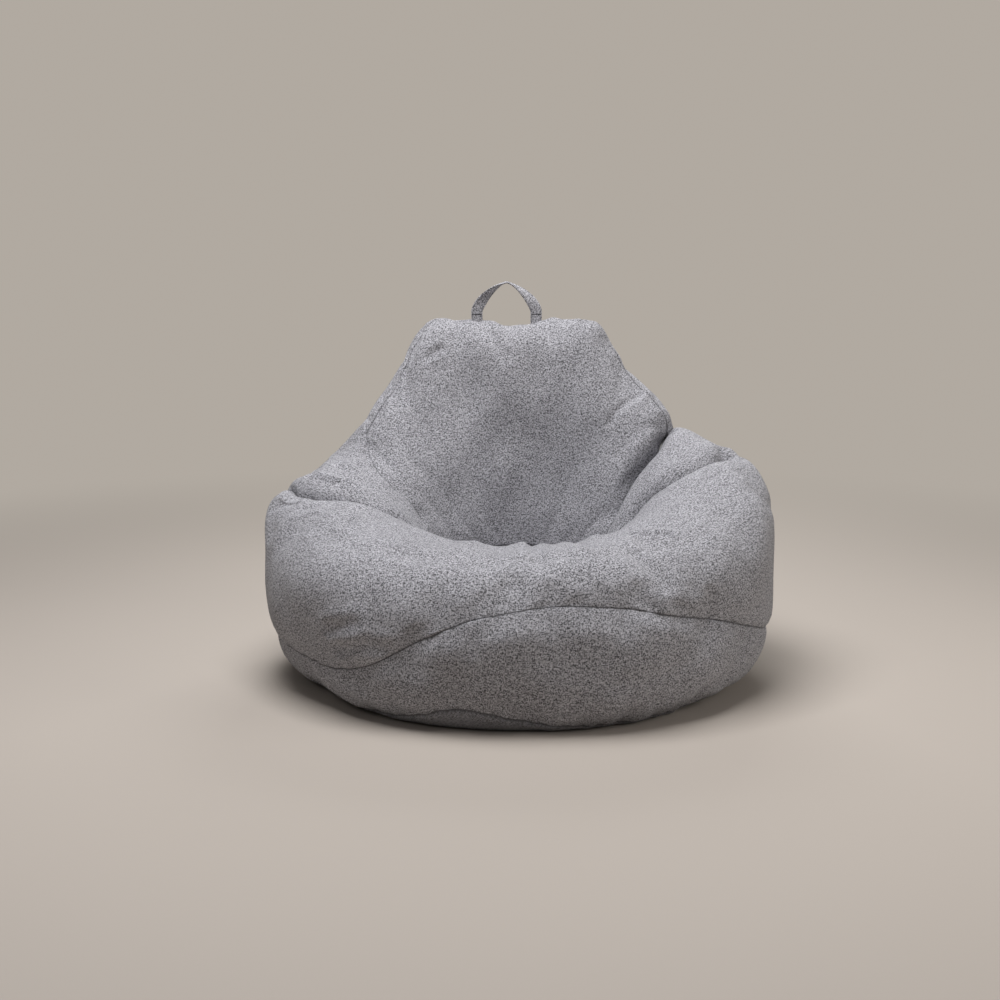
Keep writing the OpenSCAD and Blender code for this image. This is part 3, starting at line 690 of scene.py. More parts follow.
# name: first and last column, first and last row, which copy of the surface, and the pole that it closes over
PANELS = {
    "base_panel": ((0, FULL), (0, ROWS["base"]), cover, "low"),
    "front_gusset": ((0, right), (ROWS["base"], ROWS["ring"]), cover, None),
    "rear_gusset": ((right, left), (ROWS["base"], ROWS["ring"]), lower_edge, None),
    "bolster_panel": ((0, right), (ROWS["ring"], ROWS["seat"]), cover, None),
    "right_wing_panel": ((right, COLS["right_back"]), (ROWS["ring"], ROWS["seat"]), cover, None),
    "left_wing_panel": ((COLS["left_back"], left), (ROWS["ring"], ROWS["seat"]), cover, None),
    "rear_panel": ((COLS["right_back"], COLS["left_back"]), (ROWS["ring"], ROWS["crest"]), upper_edge, None),
    "backrest_panel": ((COLS["right_back"], COLS["left_back"]), (ROWS["crest"], ROWS["seat"]), cover, None),
    "seat_panel": ((0, FULL), (ROWS["seat"], last_row), cover, "high"),
}


# ---- Materials ----
def nodes_of(tree):
    """Short ways to add nodes to a tree and join them."""

    def add(kind, **settings):
        node = tree.nodes.new(kind)
        for key, value in settings.items():
            if key in node.inputs:
                node.inputs[key].default_value = value
            else:
                setattr(node, key, value)
        return node

    def join(a, b):
        tree.links.new(a, b)

    def sums(operation, a, b=None, c=None, clamp=False):
        node = tree.nodes.new("ShaderNodeMath")
        node.operation = operation
        node.use_clamp = clamp
        for slot, value in zip(node.inputs, (a, b, c)):
            if isinstance(value, (int, float)):
                slot.default_value = value
            elif value is not None:
                tree.links.new(value, slot)
        return node.outputs[0]

    return add, join, sums


def group(name, inputs, outputs):
    tree = bpy.data.node_groups.new(name, "ShaderNodeTree")
    for label, kind, value in inputs:
        socket = tree.interface.new_socket(name=label, in_out="INPUT", socket_type="NodeSocket" + kind)
        if value is not None:
            socket.default_value = value
    for label, kind in outputs:
        tree.interface.new_socket(name=label, in_out="OUTPUT", socket_type="NodeSocket" + kind)
    return tree, tree.nodes.new("NodeGroupInput").outputs, tree.nodes.new("NodeGroupOutput").inputs


def streak_group():
    """Uneven yarn: noise drawn out along one direction of the cloth."""
    tree, given, result = group(
        "yarn_streaks",
        [("Cloth", "Vector", None), ("Length", "Float", 0.008), ("Width", "Float", 0.0016), ("Across", "Float", 0.0)],
        [("Shade", "Float")],
    )
    add, join, sums = nodes_of(tree)
    split = add("ShaderNodeSeparateXYZ")
    join(given["Cloth"], split.inputs[0])
    swap = add("ShaderNodeMix", data_type="FLOAT")
    back = add("ShaderNodeMix", data_type="FLOAT")
    for mix, first, second in ((swap, 0, 1), (back, 1, 0)):
        join(given["Across"], mix.inputs[0])
        join(split.outputs[first], mix.inputs[2])
        join(split.outputs[second], mix.inputs[3])
    place_ = add("ShaderNodeCombineXYZ")
    join(sums("DIVIDE", swap.outputs[0], given["Length"]), place_.inputs[0])
    join(sums("DIVIDE", back.outputs[0], given["Width"]), place_.inputs[1])
    join(sums("MULTIPLY", given["Across"], 7.3), place_.inputs[2])
    noise = add("ShaderNodeTexNoise", Scale=1.0, Detail=2.0, Roughness=0.55)
    join(place_.outputs[0], noise.inputs["Vector"])
    join(noise.outputs["Fac"], result["Shade"])
    return tree


def melange_group(streaks):
    """Heathered plain weave: dark and light yarns crossing, with slubs, and the weave's own height."""
    tree, given, result = group(
        "melange_weave",
        [
            ("Cloth", "Vector", None),
            ("Dark yarn", "Color", (0.1, 0.1, 0.11, 1)),
            ("Light yarn", "Color", (0.5, 0.5, 0.53, 1)),
            ("Fleck contrast", "Float", 3.0),
            ("Thread pitch", "Float", 0.0011),
            ("Slub length", "Float", 0.007),
            ("Seam", "Float", 0.0),
        ],
        [("Color", "Color"), ("Roughness", "Float"), ("Height", "Float")],
    )
    add, join, sums = nodes_of(tree)
    yarns = []
    for across in (0.0, 1.0):
        node = add("ShaderNodeGroup", node_tree=streaks, Across=across)
        join(given["Cloth"], node.inputs["Cloth"])
        join(given["Slub length"], node.inputs["Length"])
        join(sums("MULTIPLY", given["Thread pitch"], 1.9), node.inputs["Width"])
        yarns.append(node.outputs[0])
    split = add("ShaderNodeSeparateXYZ")
    join(given["Cloth"], split.inputs[0])
    waves = [
        sums("SINE", sums("DIVIDE", sums("MULTIPLY", axis, math.pi), given["Thread pitch"]))
        for axis in split.outputs[:2]
    ]
    over = sums("MULTIPLY", waves[0], waves[1])
    top = sums("MULTIPLY_ADD", over, 0.5, 0.5)
    shown = add("ShaderNodeMix", data_type="FLOAT")
    join(sums("MULTIPLY_ADD", top, 0.4, 0.3), shown.inputs[0])
    join(yarns[0], shown.inputs[2])
    join(yarns[1], shown.inputs[3])
    fleck = sums("MULTIPLY_ADD", sums("SUBTRACT", shown.outputs[0], 0.5), given["Fleck contrast"], 0.5, clamp=True)
    broad = add("ShaderNodeTexNoise", Scale=9.0, Detail=2.0)
    join(given["Cloth"], broad.inputs["Vector"])
    patch = sums("MULTIPLY", sums("SUBTRACT", broad.outputs["Fac"], 0.5), 0.16)
    colour = add("ShaderNodeMix", data_type="RGBA")
    # The seam input darkens the yarn mix towards the dark yarn: partly dark seam thread, partly painted shade in the
    # seam's groove.
    clear_of_seam_shade = sums("MULTIPLY_ADD", given["Seam"], -0.8, 1.0)
    join(sums("MULTIPLY", sums("ADD", fleck, patch, clamp=True), clear_of_seam_shade), colour.inputs[0])
    join(given["Dark yarn"], colour.inputs[6])
    join(given["Light yarn"], colour.inputs[7])
    join(colour.outputs[2], result["Color"])
    join(sums("MULTIPLY_ADD", fleck, -0.1, 0.95), result["Roughness"])
    ribs = sums("MULTIPLY", sums("ABSOLUTE", over), 0.6)
    join(sums("ADD", ribs, sums("MULTIPLY", shown.outputs[0], 0.7)), result["Height"])
    return tree


def scuff_group():
    """Moulded or cast finish: fine grain and faint handling marks."""
    tree, given, result = group(
        "cast_finish",
        [
            ("Place", "Vector", None),
            ("Tint", "Color", (0.2, 0.2, 0.2, 1)),
            ("Grain", "Float", 900.0),
            ("Marks", "Float", 0.25),
        ],
        [("Color", "Color"), ("Roughness", "Float"), ("Height", "Float")],
    )
    add, join, sums = nodes_of(tree)
    grain = add("ShaderNodeTexNoise", Detail=3.0)
    join(given["Place"], grain.inputs["Vector"])
    join(given["Grain"], grain.inputs["Scale"])
    marks = add("ShaderNodeTexNoise", Scale=140.0, Detail=4.0)
    join(given["Place"], marks.inputs["Vector"])
    worn = sums("MULTIPLY", sums("SUBTRACT", marks.outputs["Fac"], 0.45), given["Marks"])
    colour = add("ShaderNodeMix", data_type="RGBA")
    join(sums("MULTIPLY", worn, 2.0, clamp=True), colour.inputs[0])
    join(given["Tint"], colour.inputs[6])
    colour.inputs[7].default_value = (0.75, 0.74, 0.72, 1)
    join(colour.outputs[2], result["Color"])
    join(sums("MULTIPLY_ADD", grain.outputs["Fac"], 0.25, 0.28), result["Roughness"])
    join(grain.outputs["Fac"], result["Height"])
    return tree


STREAKS = streak_group()
MELANGE = melange_group(STREAKS)
CAST = scuff_group()


def finish_with(name, tree, values, bump=0.0004, sheen=0.0, metallic=0.0, mapped=True):
    """A material whose colour, roughness and bump come from one node group."""
    material = bpy.data.materials.new(name)
    material.use_nodes = True
    add, join, _ = nodes_of(material.node_tree)
    shader = material.node_tree.nodes["Principled BSDF"]
    shader.inputs["Sheen Weight"].default_value = sheen
    shader.inputs["Sheen Roughness"].default_value = 0.45
    shader.inputs["Metallic"].default_value = metallic
    pattern = add("ShaderNodeGroup", node_tree=tree)
    for key, value in values.items():
        pattern.inputs[key].default_value = value
    if mapped:
        source = add("ShaderNodeUVMap", uv_map="cloth")
        join(source.outputs[0], pattern.inputs[0])
    else:
        source = add("ShaderNodeTexCoord")
        join(source.outputs["Object"], pattern.inputs[0])
    # Reads the seam attribute, which darkens the colour at the seams: partly dark seam thread, partly painted shade.
    if "Seam" in pattern.inputs:
        seam = add("ShaderNodeAttribute", attribute_name="seam")
        join(seam.outputs["Fac"], pattern.inputs["Seam"])
    relief = add("ShaderNodeBump", Distance=bump, Strength=1.0)
    join(pattern.outputs["Height"], relief.inputs["Height"])
    join(relief.outputs[0], shader.inputs["Normal"])
    join(pattern.outputs["Color"], shader.inputs["Base Color"])
    join(pattern.outputs["Roughness"], shader.inputs["Roughness"])
    return material


def yarn(value):
    """A grey yarn colour, a little blue."""
    return (value, value * 0.985, value * 1.045, 1)


def heather(dark, light, contrast, **more):
    return {"Dark yarn": dark, "Light yarn": light, "Fleck contrast": contrast, **more}


def grey(value, blue=0.0):
    return (value, value, value + blue, 1)


SLUB, FINE_PITCH = {"Slub length": 0.0042}, {"Thread pitch": 0.0006}
COVER_CLOTH = finish_with("heather_linen", MELANGE, heather(yarn(0.05), yarn(0.60), 4.8, **SLUB), sheen=0.12)
BASE_CLOTH = finish_with("heather_linen_base", MELANGE, heather(yarn(0.07), yarn(0.42), 3.0), sheen=0.1)
STRAP_CLOTH = finish_with("strap_linen", MELANGE, heather(yarn(0.06), yarn(0.66), 4.4, **SLUB), sheen=0.12)
LINER_CLOTH = finish_with(
    "liner_nonwoven", MELANGE, heather(grey(0.60, -0.02), grey(0.86, -0.02), 1.2, **{"Slub length": 0.003})
)
LINER_TAPE = finish_with(
    "liner_tape_weave",
    MELANGE,
    heather(grey(0.62, -0.02), grey(0.86, -0.02), 1.2, **FINE_PITCH),
    bump=0.0002,
    mapped=False,
)
TAPE_CLOTH = finish_with(
    "zip_tape_weave",
    MELANGE,
    heather(grey(0.012, 0.002), grey(0.045, 0.005), 3.0, **FINE_PITCH),
    bump=0.0002,
    mapped=False,
)
LABEL_CLOTH = finish_with(
    "label_satin",
    MELANGE,
    heather(grey(0.70, -0.02), grey(0.88, -0.02), 1.4, **{"Thread pitch": 0.0004}),
    bump=0.0001,
    sheen=0.3,
)
THREAD = finish_with(
    "dark_thread",
    MELANGE,
    heather(grey(0.02, 0.002), grey(0.10, 0.01), 3.0, **{"Thread pitch": 0.0003, "Slub length": 0.001}),
    bump=0.00008,
    mapped=False,
)


def cast(name, tint, bump, metallic=0.0, **more):
    return finish_with(name, CAST, {"Tint": tint, **more}, bump=bump, metallic=metallic, mapped=False)


COIL_NYLON = cast("coil_nylon", grey(0.018, 0.002), 0.00004, Marks=0.03)
WHITE_COIL = cast("liner_coil_nylon", grey(0.7, -0.02), 0.00004, Marks=0.05)
ZIP_METAL = cast("zip_gunmetal", grey(0.16, 0.01), 0.00003, metallic=1.0, Marks=0.35)
BEAD_FOAM = cast("bead_foam", grey(0.86, -0.02), 0.002, Grain=300.0, Marks=0.1)


def dress(obj, material):
    obj.data.materials.clear()
    obj.data.materials.append(material)
    return obj


for name, (span, rise, surface, pole) in PANELS.items():
    points, out = cut(surface, span, rise), cut(normals(surface), span, rise)
    panel = shell(name + "_cloth", points, out, pole, FLAT_SEAM.get(name))
    dress(panel, BASE_CLOTH if name == "base_panel" else COVER_CLOTH)
    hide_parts(name)
    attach(panel, "bag")

# ---- Liner and beads, inside ----
LINER_IN, BEADS_IN = 0.016, 0.021


def inside(name, depth, material, node):
    """A smoother closed copy of the cover, depth inside it."""
    points = coarse - normals(coarse) * depth
    for _ in range(3):
        middle = (np.roll(points, 1, 0) + np.roll(points, -1, 0)) / 2
        points = (points + middle) / 2
    points[..., 2] = np.maximum(points[..., 2], depth)
    obj = bpy.data.objects.new(name, grid_mesh(name, points))
    SCENE.collection.objects.link(obj)
    lay_uv(obj.data, np.array([v.co for v in obj.data.vertices])[:, [0, 2]])
    only(obj)
    bpy.ops.object.shade_smooth()
    dress(obj, material)
    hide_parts(node)
    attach(obj, "bag")


inside("liner_cloth", LINER_IN, LINER_CLOTH, "inner_liner")
inside("bead_mass", BEADS_IN, BEAD_FOAM, "bead_filling")

# ---- Carry handle ----
STRAP_W = 0.027
LOOP_POWER = 1.4
TWIST_FROM, TWIST_TO = 0.02, 0.46
STRAP_RINGS = 120
# Where the two stitch lines run, as a share of half the strap's width
STITCH_LINE = 0.74
loop_low, loop_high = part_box("handle_strap")
feet_low, feet_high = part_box("handle_feet")
STRAP_T = feet_high[1] - feet_low[1]
HANDLE_X = (feet_low[0] + feet_high[0]) / 2
HANDLE_Y = (feet_low[1] + feet_high[1]) / 2
HALF_SPAN = (feet_high[0] - feet_low[0] - STRAP_W) / 2
FOLD_Z = loop_low[2]
LOOP_H = loop_high[2] - STRAP_T / 2 - FOLD_Z
# The strap's ends run down through the top seam
END_Z = feet_low[2] - 0.022


def strap_frames():
    """Centre, width direction and thickness direction of the strap at each ring, from end to end."""
    f = np.linspace(0, 1, STRAP_RINGS)
    c, s = np.cos(math.pi * f), np.sin(math.pi * f)
    x = HANDLE_X - HALF_SPAN * np.sign(c) * np.abs(c) ** (2 / LOOP_POWER)
    z = FOLD_Z + LOOP_H * np.clip(s, 0, 1) ** (2 / LOOP_POWER)
    down = np.linspace(END_Z, FOLD_Z, 9)[:-1]
    x = np.concatenate([0 * down + x[0], x, 0 * down + x[-1]])
    z = np.concatenate([down, z, down[::-1]])
    f = np.concatenate([0 * down, f, 0 * down + 1])
    centre = np.stack([x, 0 * x + HANDLE_Y, z], -1)
    ahead = np.gradient(centre, axis=0)
    ahead /= np.linalg.norm(ahead, axis=1, keepdims=True)
    near = np.clip((np.minimum(f, 1 - f) - TWIST_FROM) / (TWIST_TO - TWIST_FROM), 0, 1)
    twist = np.radians(90) * (1 - np.cos(math.pi * near)) / 2 * np.where(f < 0.5, 1, -1)
    y = np.array([0.0, 1.0, 0.0])
    side = np.cross(y, ahead)
    wide = np.cos(twist)[:, None] * side + np.sin(twist)[:, None] * y
    return centre, wide, np.cross(ahead, wide), ahead


def strap():
    """Folded and stitched linen strap, a little fuller between its two stitch lines."""
    centre, wide, thin, _ = strap_frames()
    run = run_of(centre)
    across = np.concatenate([np.linspace(-1, 1, 15), np.linspace(1, -1, 15)])
    face = np.concatenate([np.ones(15), -np.ones(15)])
    edge = np.clip((1 - np.abs(across)) / 0.12, 0, 1) ** 0.5
    groove = 0.16 * np.exp(-(((np.abs(across) - STITCH_LINE) / 0.07) ** 2))
    full = 0.5 * (0.86 * edge * (1 - groove) + 0.14 * np.clip(1 - across**2, 0, 1))
    ripple = 1 + 0.05 * wobble(run, 0.02, 51)[:, None]
    points = (
        centre[:, None]
        + wide[:, None] * (across * STRAP_W / 2)[None, :, None]
        + thin[:, None] * (face * full * STRAP_T)[None, :, None] * ripple[..., None]
    )
    rings, sides = points.shape[:2]
    keep = [k for k in range(sides) if k not in (15, sides - 1)]
    points = points[:, keep]
    sides = len(keep)
    over = np.broadcast_to((across * STRAP_W / 2)[keep], (rings, sides))
    uv = np.stack([over, np.broadcast_to(run[:, None], (rings, sides))], -1)
    obj = make("carry_strap", points.reshape(-1, 3), tube_faces(rings, sides), uv.reshape(-1, 2), smooth=55)
    outward(obj)
    return obj


def tube_faces(rings, sides):
    """Faces of a tube with both ends closed."""
    faces = [
        (a * sides + k, a * sides + (k + 1) % sides, (a + 1) * sides + (k + 1) % sides, (a + 1) * sides + k)
        for a in range(rings - 1)
        for k in range(sides)
    ]
    return faces + [tuple(range(sides))[::-1], tuple((rings - 1) * sides + k for k in range(sides))]


def outward(obj):
    """Turns every face of a closed shape to point out."""
    bm = bmesh.new()
    bm.from_mesh(obj.data)
    bmesh.ops.recalc_face_normals(bm, faces=bm.faces[:])
    bm.to_mesh(obj.data)
    bm.free()


def thread_bit(length, radius):
    """Points and faces of one stitch: a short round thread that tapers to both ends."""
    bpy.ops.object.select_all(action="DESELECT")
    bpy.ops.mesh.primitive_uv_sphere_add(segments=6, ring_count=5, radius=1)
    bit = bpy.context.object
    bit.data.transform(Matrix.Diagonal((radius, radius, length / 2, 1)))
    verts = np.array([v.co for v in bit.data.vertices])
    faces = [tuple(p.vertices) for p in bit.data.polygons]
    mesh = bit.data
    bpy.data.objects.remove(bit)
    bpy.data.meshes.remove(mesh)
    return verts, faces


def stitches(name, places, length, radius):
    """Many stitches as one piece. A place is its middle, the way its thread runs and the way it faces."""
    verts, faces = thread_bit(length, radius)
    all_verts, all_faces = [], []
    for middle, ahead, face in places:
        side = np.cross(ahead, face)
        base = len(all_verts) * len(verts)
        all_verts.append(middle + verts[:, :1] * side + verts[:, 1:2] * face + verts[:, 2:] * ahead)
        all_faces += [tuple(base + k for k in f) for f in faces]
    obj = make(name, np.concatenate(all_verts), all_faces)
    outward(obj)
    return dress(obj, THREAD)


carry = dress(strap(), STRAP_CLOTH)
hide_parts("handle_strap", "handle_feet")
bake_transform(carry)

STITCH_STEP, STITCH_L, STITCH_R, STITCH_FROM = 0.0036, 0.0028, 0.00035, 0.014
centre, wide, thin, ahead = strap_frames()
run = run_of(centre)
along = np.arange(STITCH_FROM, run[-1] - STITCH_FROM, STITCH_STEP)
at_stitch = [np.stack([np.interp(along, run, v[:, k]) for k in range(3)], -1) for v in (centre, wide, thin, ahead)]
places = [
    (c + w * edge * STITCH_LINE * STRAP_W / 2 + n * face * 0.40 * STRAP_T, a, n * face)
    for c, w, n, a in zip(*at_stitch)
    for edge in (-1, 1)
    for face in (-1, 1)
]
handle_thread = stitches("strap_stitches", places, STITCH_L, STITCH_R)
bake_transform(handle_thread)

BAR_W, BAR_STITCHES, BAR_THREAD_R = 0.022, 26, 0.0005
bar_low, bar_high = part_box("handle_bartacks")
bar_z = (bar_low[2] + bar_high[2]) / 2
places = [
    (
        np.array([HANDLE_X + foot * HALF_SPAN + x, HANDLE_Y + face * STRAP_T * 0.5, bar_z]),
        np.array([0.12 * (-1) ** k, 0, 0.99]),
        np.array([0.0, face, 0.0]),
    )
    for foot in (-1, 1)
    for face in (-1, 1)
    for k, x in enumerate(np.linspace(-BAR_W / 2, BAR_W / 2, BAR_STITCHES))
]
bars = stitches("bartack_stitches", places, bar_high[2] - bar_low[2], BAR_THREAD_R)
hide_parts("handle_bartacks")
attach(bars, "bag")


# ---- Zips ----
TOOTH_PITCH = 0.0019
COIL_IN, COIL_OUT = HALF_D - 0.0044, HALF_D - 0.0022
COIL_END = 37.9
TOOTH_R = 0.00045
TOOTH_SIDES = 5


def teeth(name, node, side):
    """One row of the nylon coil: a small loop for each turn, from the tape out and back over."""
    count = int(math.radians(2 * COIL_END) * HALF_D / TOOTH_PITCH)
    reach = [(COIL_IN + 0.0004, 0.0031), (COIL_OUT - 0.0003, 0.0028), (COIL_OUT, 0.0017), (COIL_OUT - 0.0005, 0.0006)]
    reach += [(COIL_IN + 0.0006, 0.0006), (COIL_IN + 0.0003, 0.0017)]
    path = np.array(reach)
    path[:, 1] *= side
    ahead_ = np.gradient(path, axis=0)
    ahead_ /= np.linalg.norm(ahead_, axis=1, keepdims=True)
    ring = np.arange(TOOTH_SIDES) * 2 * math.pi / TOOTH_SIDES
    off = np.stack([-ahead_[:, 1], ahead_[:, 0]], -1)
    local = np.stack(
        [
            path[:, None, 0] + off[:, None, 0] * np.cos(ring) * TOOTH_R,
            0 * path[:, None, 0] + np.sin(ring) * TOOTH_R,
            path[:, None, 1] + off[:, None, 1] * np.cos(ring) * TOOTH_R,
        ],
        -1,
    ).reshape(-1, 3)
    faces = tube_faces(len(path), TOOTH_SIDES)
    verts, all_faces = [], []
    for k in range(count):
        turn = math.radians(90 - COIL_END) + (k + 0.25 + side * 0.25) * TOOTH_PITCH / HALF_D
        x = local[:, 0] * math.cos(turn) - local[:, 1] * math.sin(turn)
        y = local[:, 0] * math.sin(turn) + local[:, 1] * math.cos(turn)
        verts.append(np.stack([x, y, local[:, 2] + ZIP_Z], -1))
        all_faces += [tuple(k * len(local) + v for v in face) for face in faces]
    obj = make(name, np.concatenate(verts), all_faces)
    outward(obj)
    dress(obj, COIL_NYLON)
    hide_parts(node)
    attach(obj, "bag")


teeth("coil_teeth_upper", "zip_coil_upper", 1)
teeth("coil_teeth_lower", "zip_coil_lower", -1)

# ---- Slider and pull, cast and bevelled ----
# Local places: x out from the zip's circle, y along the zip, z up; the origin is the middle of the bail
PIVOT = next(j["pos_m"] for j in frame["joints"] if j["name"] == "pull_swing")
PIVOT_TURN = math.atan2(PIVOT[1], PIVOT[0])
BAIL_OUT = math.hypot(PIVOT[0], PIVOT[1]) - HALF_D
SLIDER_L, SLIDER_W, PLATE_T = 0.014, 0.009, 0.0014
# Widths of a slider plate and of the pull along their length, as shares of the full width
PLATE_SHARES = (0.72, 0.9, 1.0, 1.0, 0.94, 0.86, 0.80)
PULL_SHARES = (0.62, 0.92, 1.0, 0.97, 0.90, 0.82, 0.76, 0.72, 0.70)
TOP_PLATE_X = -0.0003 - PLATE_T / 2 - BAIL_OUT
UNDER_PLATE_X = -0.0066 - BAIL_OUT
FLANGE_T, FLANGE_DEEP = 0.0007, 0.0016
BAIL_D, BAIL_HALF = 0.0018, 0.0043
PULL_L, PULL_W, PULL_T, PULL_HOLE = 0.034, 0.009, 0.0014, 0.0017
EYE_R, EYE_BORE, EYE_W = 0.00188, 0.00098, 0.0064


def block(name, size, at):
    """A bar or plate, added at its size and place."""
    bpy.ops.object.select_all(action="DESELECT")
    bpy.ops.mesh.primitive_cube_add(size=1, location=at)
    obj = bpy.context.object
    obj.name = name
    obj.scale = size
    bpy.ops.object.transform_apply(location=True, rotation=True, scale=True)
    return obj


def rod(name, radius, length, at, along="Y", sides=24):
    bpy.ops.object.select_all(action="DESELECT")
    turn = {"X": (0, math.pi / 2, 0), "Y": (math.pi / 2, 0, 0), "Z": (0, 0, 0)}[along]
    bpy.ops.mesh.primitive_cylinder_add(vertices=sides, radius=radius, depth=length, location=at, rotation=turn)
    obj = bpy.context.object
    obj.name = name
    bpy.ops.object.transform_apply(location=True, rotation=True, scale=True)
    return obj


def pinch(obj, axis, shares):
    """Cuts a plate across its length and narrows it at each cut: shares are of its width, end to end."""
    cuts = len(shares) - 1
    only(obj)
    low = min(v.co[axis] for v in obj.data.vertices)
    high = max(v.co[axis] for v in obj.data.vertices)
    bpy.ops.object.mode_set(mode="EDIT")
    for k in range(1, cuts):
        at = low + (high - low) * k / cuts
        spot, way = [0, 0, 0], [0, 0, 0]
        spot[axis], way[axis] = at, 1
        bpy.ops.mesh.select_all(action="SELECT")
        bpy.ops.mesh.bisect(plane_co=spot, plane_no=way)
    bpy.ops.object.mode_set(mode="OBJECT")
    across = 2 if axis == 1 else 1
    middle = sum(v.co[across] for v in obj.data.vertices) / len(obj.data.vertices)
    for v in obj.data.vertices:
        share = np.interp((v.co[axis] - low) / (high - low), np.linspace(0, 1, len(shares)), shares)
        v.co[across] = middle + (v.co[across] - middle) * share


def bevelled(obj, width, segments=2):
    only(obj)
    edge = obj.modifiers.new("Edges", "BEVEL")
    edge.width, edge.segments, edge.angle_limit = width, segments, math.radians(35)
    edge.limit_method = "ANGLE"
    bpy.ops.object.modifier_apply(modifier="Edges")
    return obj


def minus(obj, tool):
    only(obj)
    hole = obj.modifiers.new("Hole", "BOOLEAN")
    hole.operation, hole.object, hole.solver = "DIFFERENCE", tool, "EXACT"
    bpy.ops.object.modifier_apply(modifier="Hole")
    bpy.data.objects.remove(tool)
    return obj


def united(name, first, *others):
    """One casting from overlapping bars and plates."""
    for other in others:
        only(first)
        add = first.modifiers.new("Join", "BOOLEAN")
        add.operation, add.object, add.solver = "UNION", other, "EXACT"
        bpy.ops.object.modifier_apply(modifier="Join")
        bpy.data.objects.remove(other)
    first.name = name
    return first


def at_zip(obj, node, body):
    """Puts a local shape at the bail, smooths it and gives it its finish."""
    c, s = math.cos(PIVOT_TURN), math.sin(PIVOT_TURN)
    obj.data.transform(Matrix(((c, -s, 0, PIVOT[0]), (s, c, 0, PIVOT[1]), (0, 0, 1, PIVOT[2]), (0, 0, 0, 1))))
    outward(obj)
    only(obj)
    bpy.ops.object.shade_smooth_by_angle(angle=math.radians(38))
    dress(obj, ZIP_METAL)
    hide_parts(node)
    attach(obj, body)


def slider():
    top = block("top_plate", (PLATE_T, SLIDER_L, SLIDER_W), (TOP_PLATE_X, 0, 0))
    pinch(top, 1, PLATE_SHARES)
    bevelled(top, 0.0003)
    under = block("under_plate", (PLATE_T, SLIDER_L, SLIDER_W), (UNDER_PLATE_X, 0, 0))
    pinch(under, 1, PLATE_SHARES)
    bevelled(under, 0.0003)
    gap = TOP_PLATE_X - UNDER_PLATE_X
    post = block("post", (gap, 0.004, 0.0006), ((TOP_PLATE_X + UNDER_PLATE_X) / 2, 0, 0))
    pieces = [top, under, post]
    for side in (-1, 1):
        flange_at = (TOP_PLATE_X - PLATE_T / 2 - FLANGE_DEEP / 2 + 0.0003, 0, side * (SLIDER_W / 2 - FLANGE_T * 0.75))
        flange = block("flange", (FLANGE_DEEP + 0.0006, SLIDER_L * 0.55, FLANGE_T), flange_at)
        pieces.append(bevelled(flange, 0.00012, 1))
        leg_x = (TOP_PLATE_X + 0.0003) / 2
        leg = block("bail_leg", (-TOP_PLATE_X + 0.0006, 0.0016, BAIL_D), (leg_x, side * BAIL_HALF, 0))
        pieces.append(bevelled(leg, 0.0004))
    pieces.append(rod("bail_bar", BAIL_D / 2, 2 * BAIL_HALF, (0, 0, 0)))
    at_zip(united("slider_casting", *pieces), "zip_slider", "slider")


def pull():
    eye = rod("eye", EYE_R, EYE_W, (0, 0, 0), sides=32)
    bevelled(eye, 0.0003)
    neck = block("neck", (PULL_T, EYE_W, 0.006), (0, 0, -EYE_R - 0.0018))
    tab_l = PULL_L - EYE_R - 0.002
    tab = block("tab", (PULL_T, PULL_W, tab_l), (0, 0, -PULL_L + tab_l / 2))
    pinch(tab, 2, PULL_SHARES)
    minus(tab, rod("hole", PULL_HOLE, 0.01, (0, 0, -PULL_L + PULL_W / 2), "X"))
    bevelled(tab, 0.00028)
    whole = united("pull_tab", eye, neck, tab)
    minus(whole, rod("bore", EYE_BORE, 0.02, (0, 0, 0), sides=32))
    at_zip(whole, "zip_pull", "pull")


slider()
pull()

# ---- Care label: a blank satin tape caught in the back seam ----
LABEL_T = 0.0004
LABEL_TURN = math.radians(136)
LABEL_CLEAR = 0.0015
label_low, label_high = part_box("care_label")
LABEL_L = label_high[2] - label_low[2]
LABEL_W = 0.032


def label():
    x, y = np.meshgrid(np.linspace(-0.5, 0.5, 15) * LABEL_W, np.linspace(0, 1, 21), indexing="ij")
    out = HALF_D + LABEL_CLEAR + 0.0004 + 0.0012 * np.sin(y * 2.2) * (1 + 0.8 * np.sin(x * 90)) * y
    out -= 0.0035 * np.exp(-y / 0.05)
    z = ZIP_Z - y * (LABEL_L - 0.001)
    points = np.stack(
        [
            out * math.cos(LABEL_TURN) - x * math.sin(LABEL_TURN),
            out * math.sin(LABEL_TURN) + x * math.cos(LABEL_TURN),
            z,
        ],
        -1,
    )
    rows, cols = points.shape[:2]
    faces = [
        (a * cols + b, a * cols + b + 1, (a + 1) * cols + b + 1, (a + 1) * cols + b)
        for a in range(rows - 1)
        for b in range(cols - 1)
    ]
    uv = np.stack([x, z], -1).reshape(-1, 2)
    obj = make("care_label_tape", points.reshape(-1, 3), faces, uv)
    thick = obj.modifiers.new("Thickness", "SOLIDIFY")
    thick.thickness = LABEL_T
    thick.offset = 0
    only(obj)
    bpy.ops.object.modifier_apply(modifier="Thickness")
    outward(obj)
    dress(obj, LABEL_CLOTH)
    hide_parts("care_label")
    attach(obj, "bag")


label()

# ---- Finishes of the parts that stay as packed ----
KEPT = {
    "zip_tape_upper": TAPE_CLOTH,
    "zip_tape_lower": TAPE_CLOTH,
    "zip_end_stops": ZIP_METAL,
    "liner_zip_tapes": LINER_TAPE,
    "liner_zip_coils": WHITE_COIL,
    "liner_zip_end_stops": ZIP_METAL,
    "liner_zip_slider": ZIP_METAL,
}
for node, material in KEPT.items():
    for slot in frame["nodes"][node].material_slots:
        slot.material = material

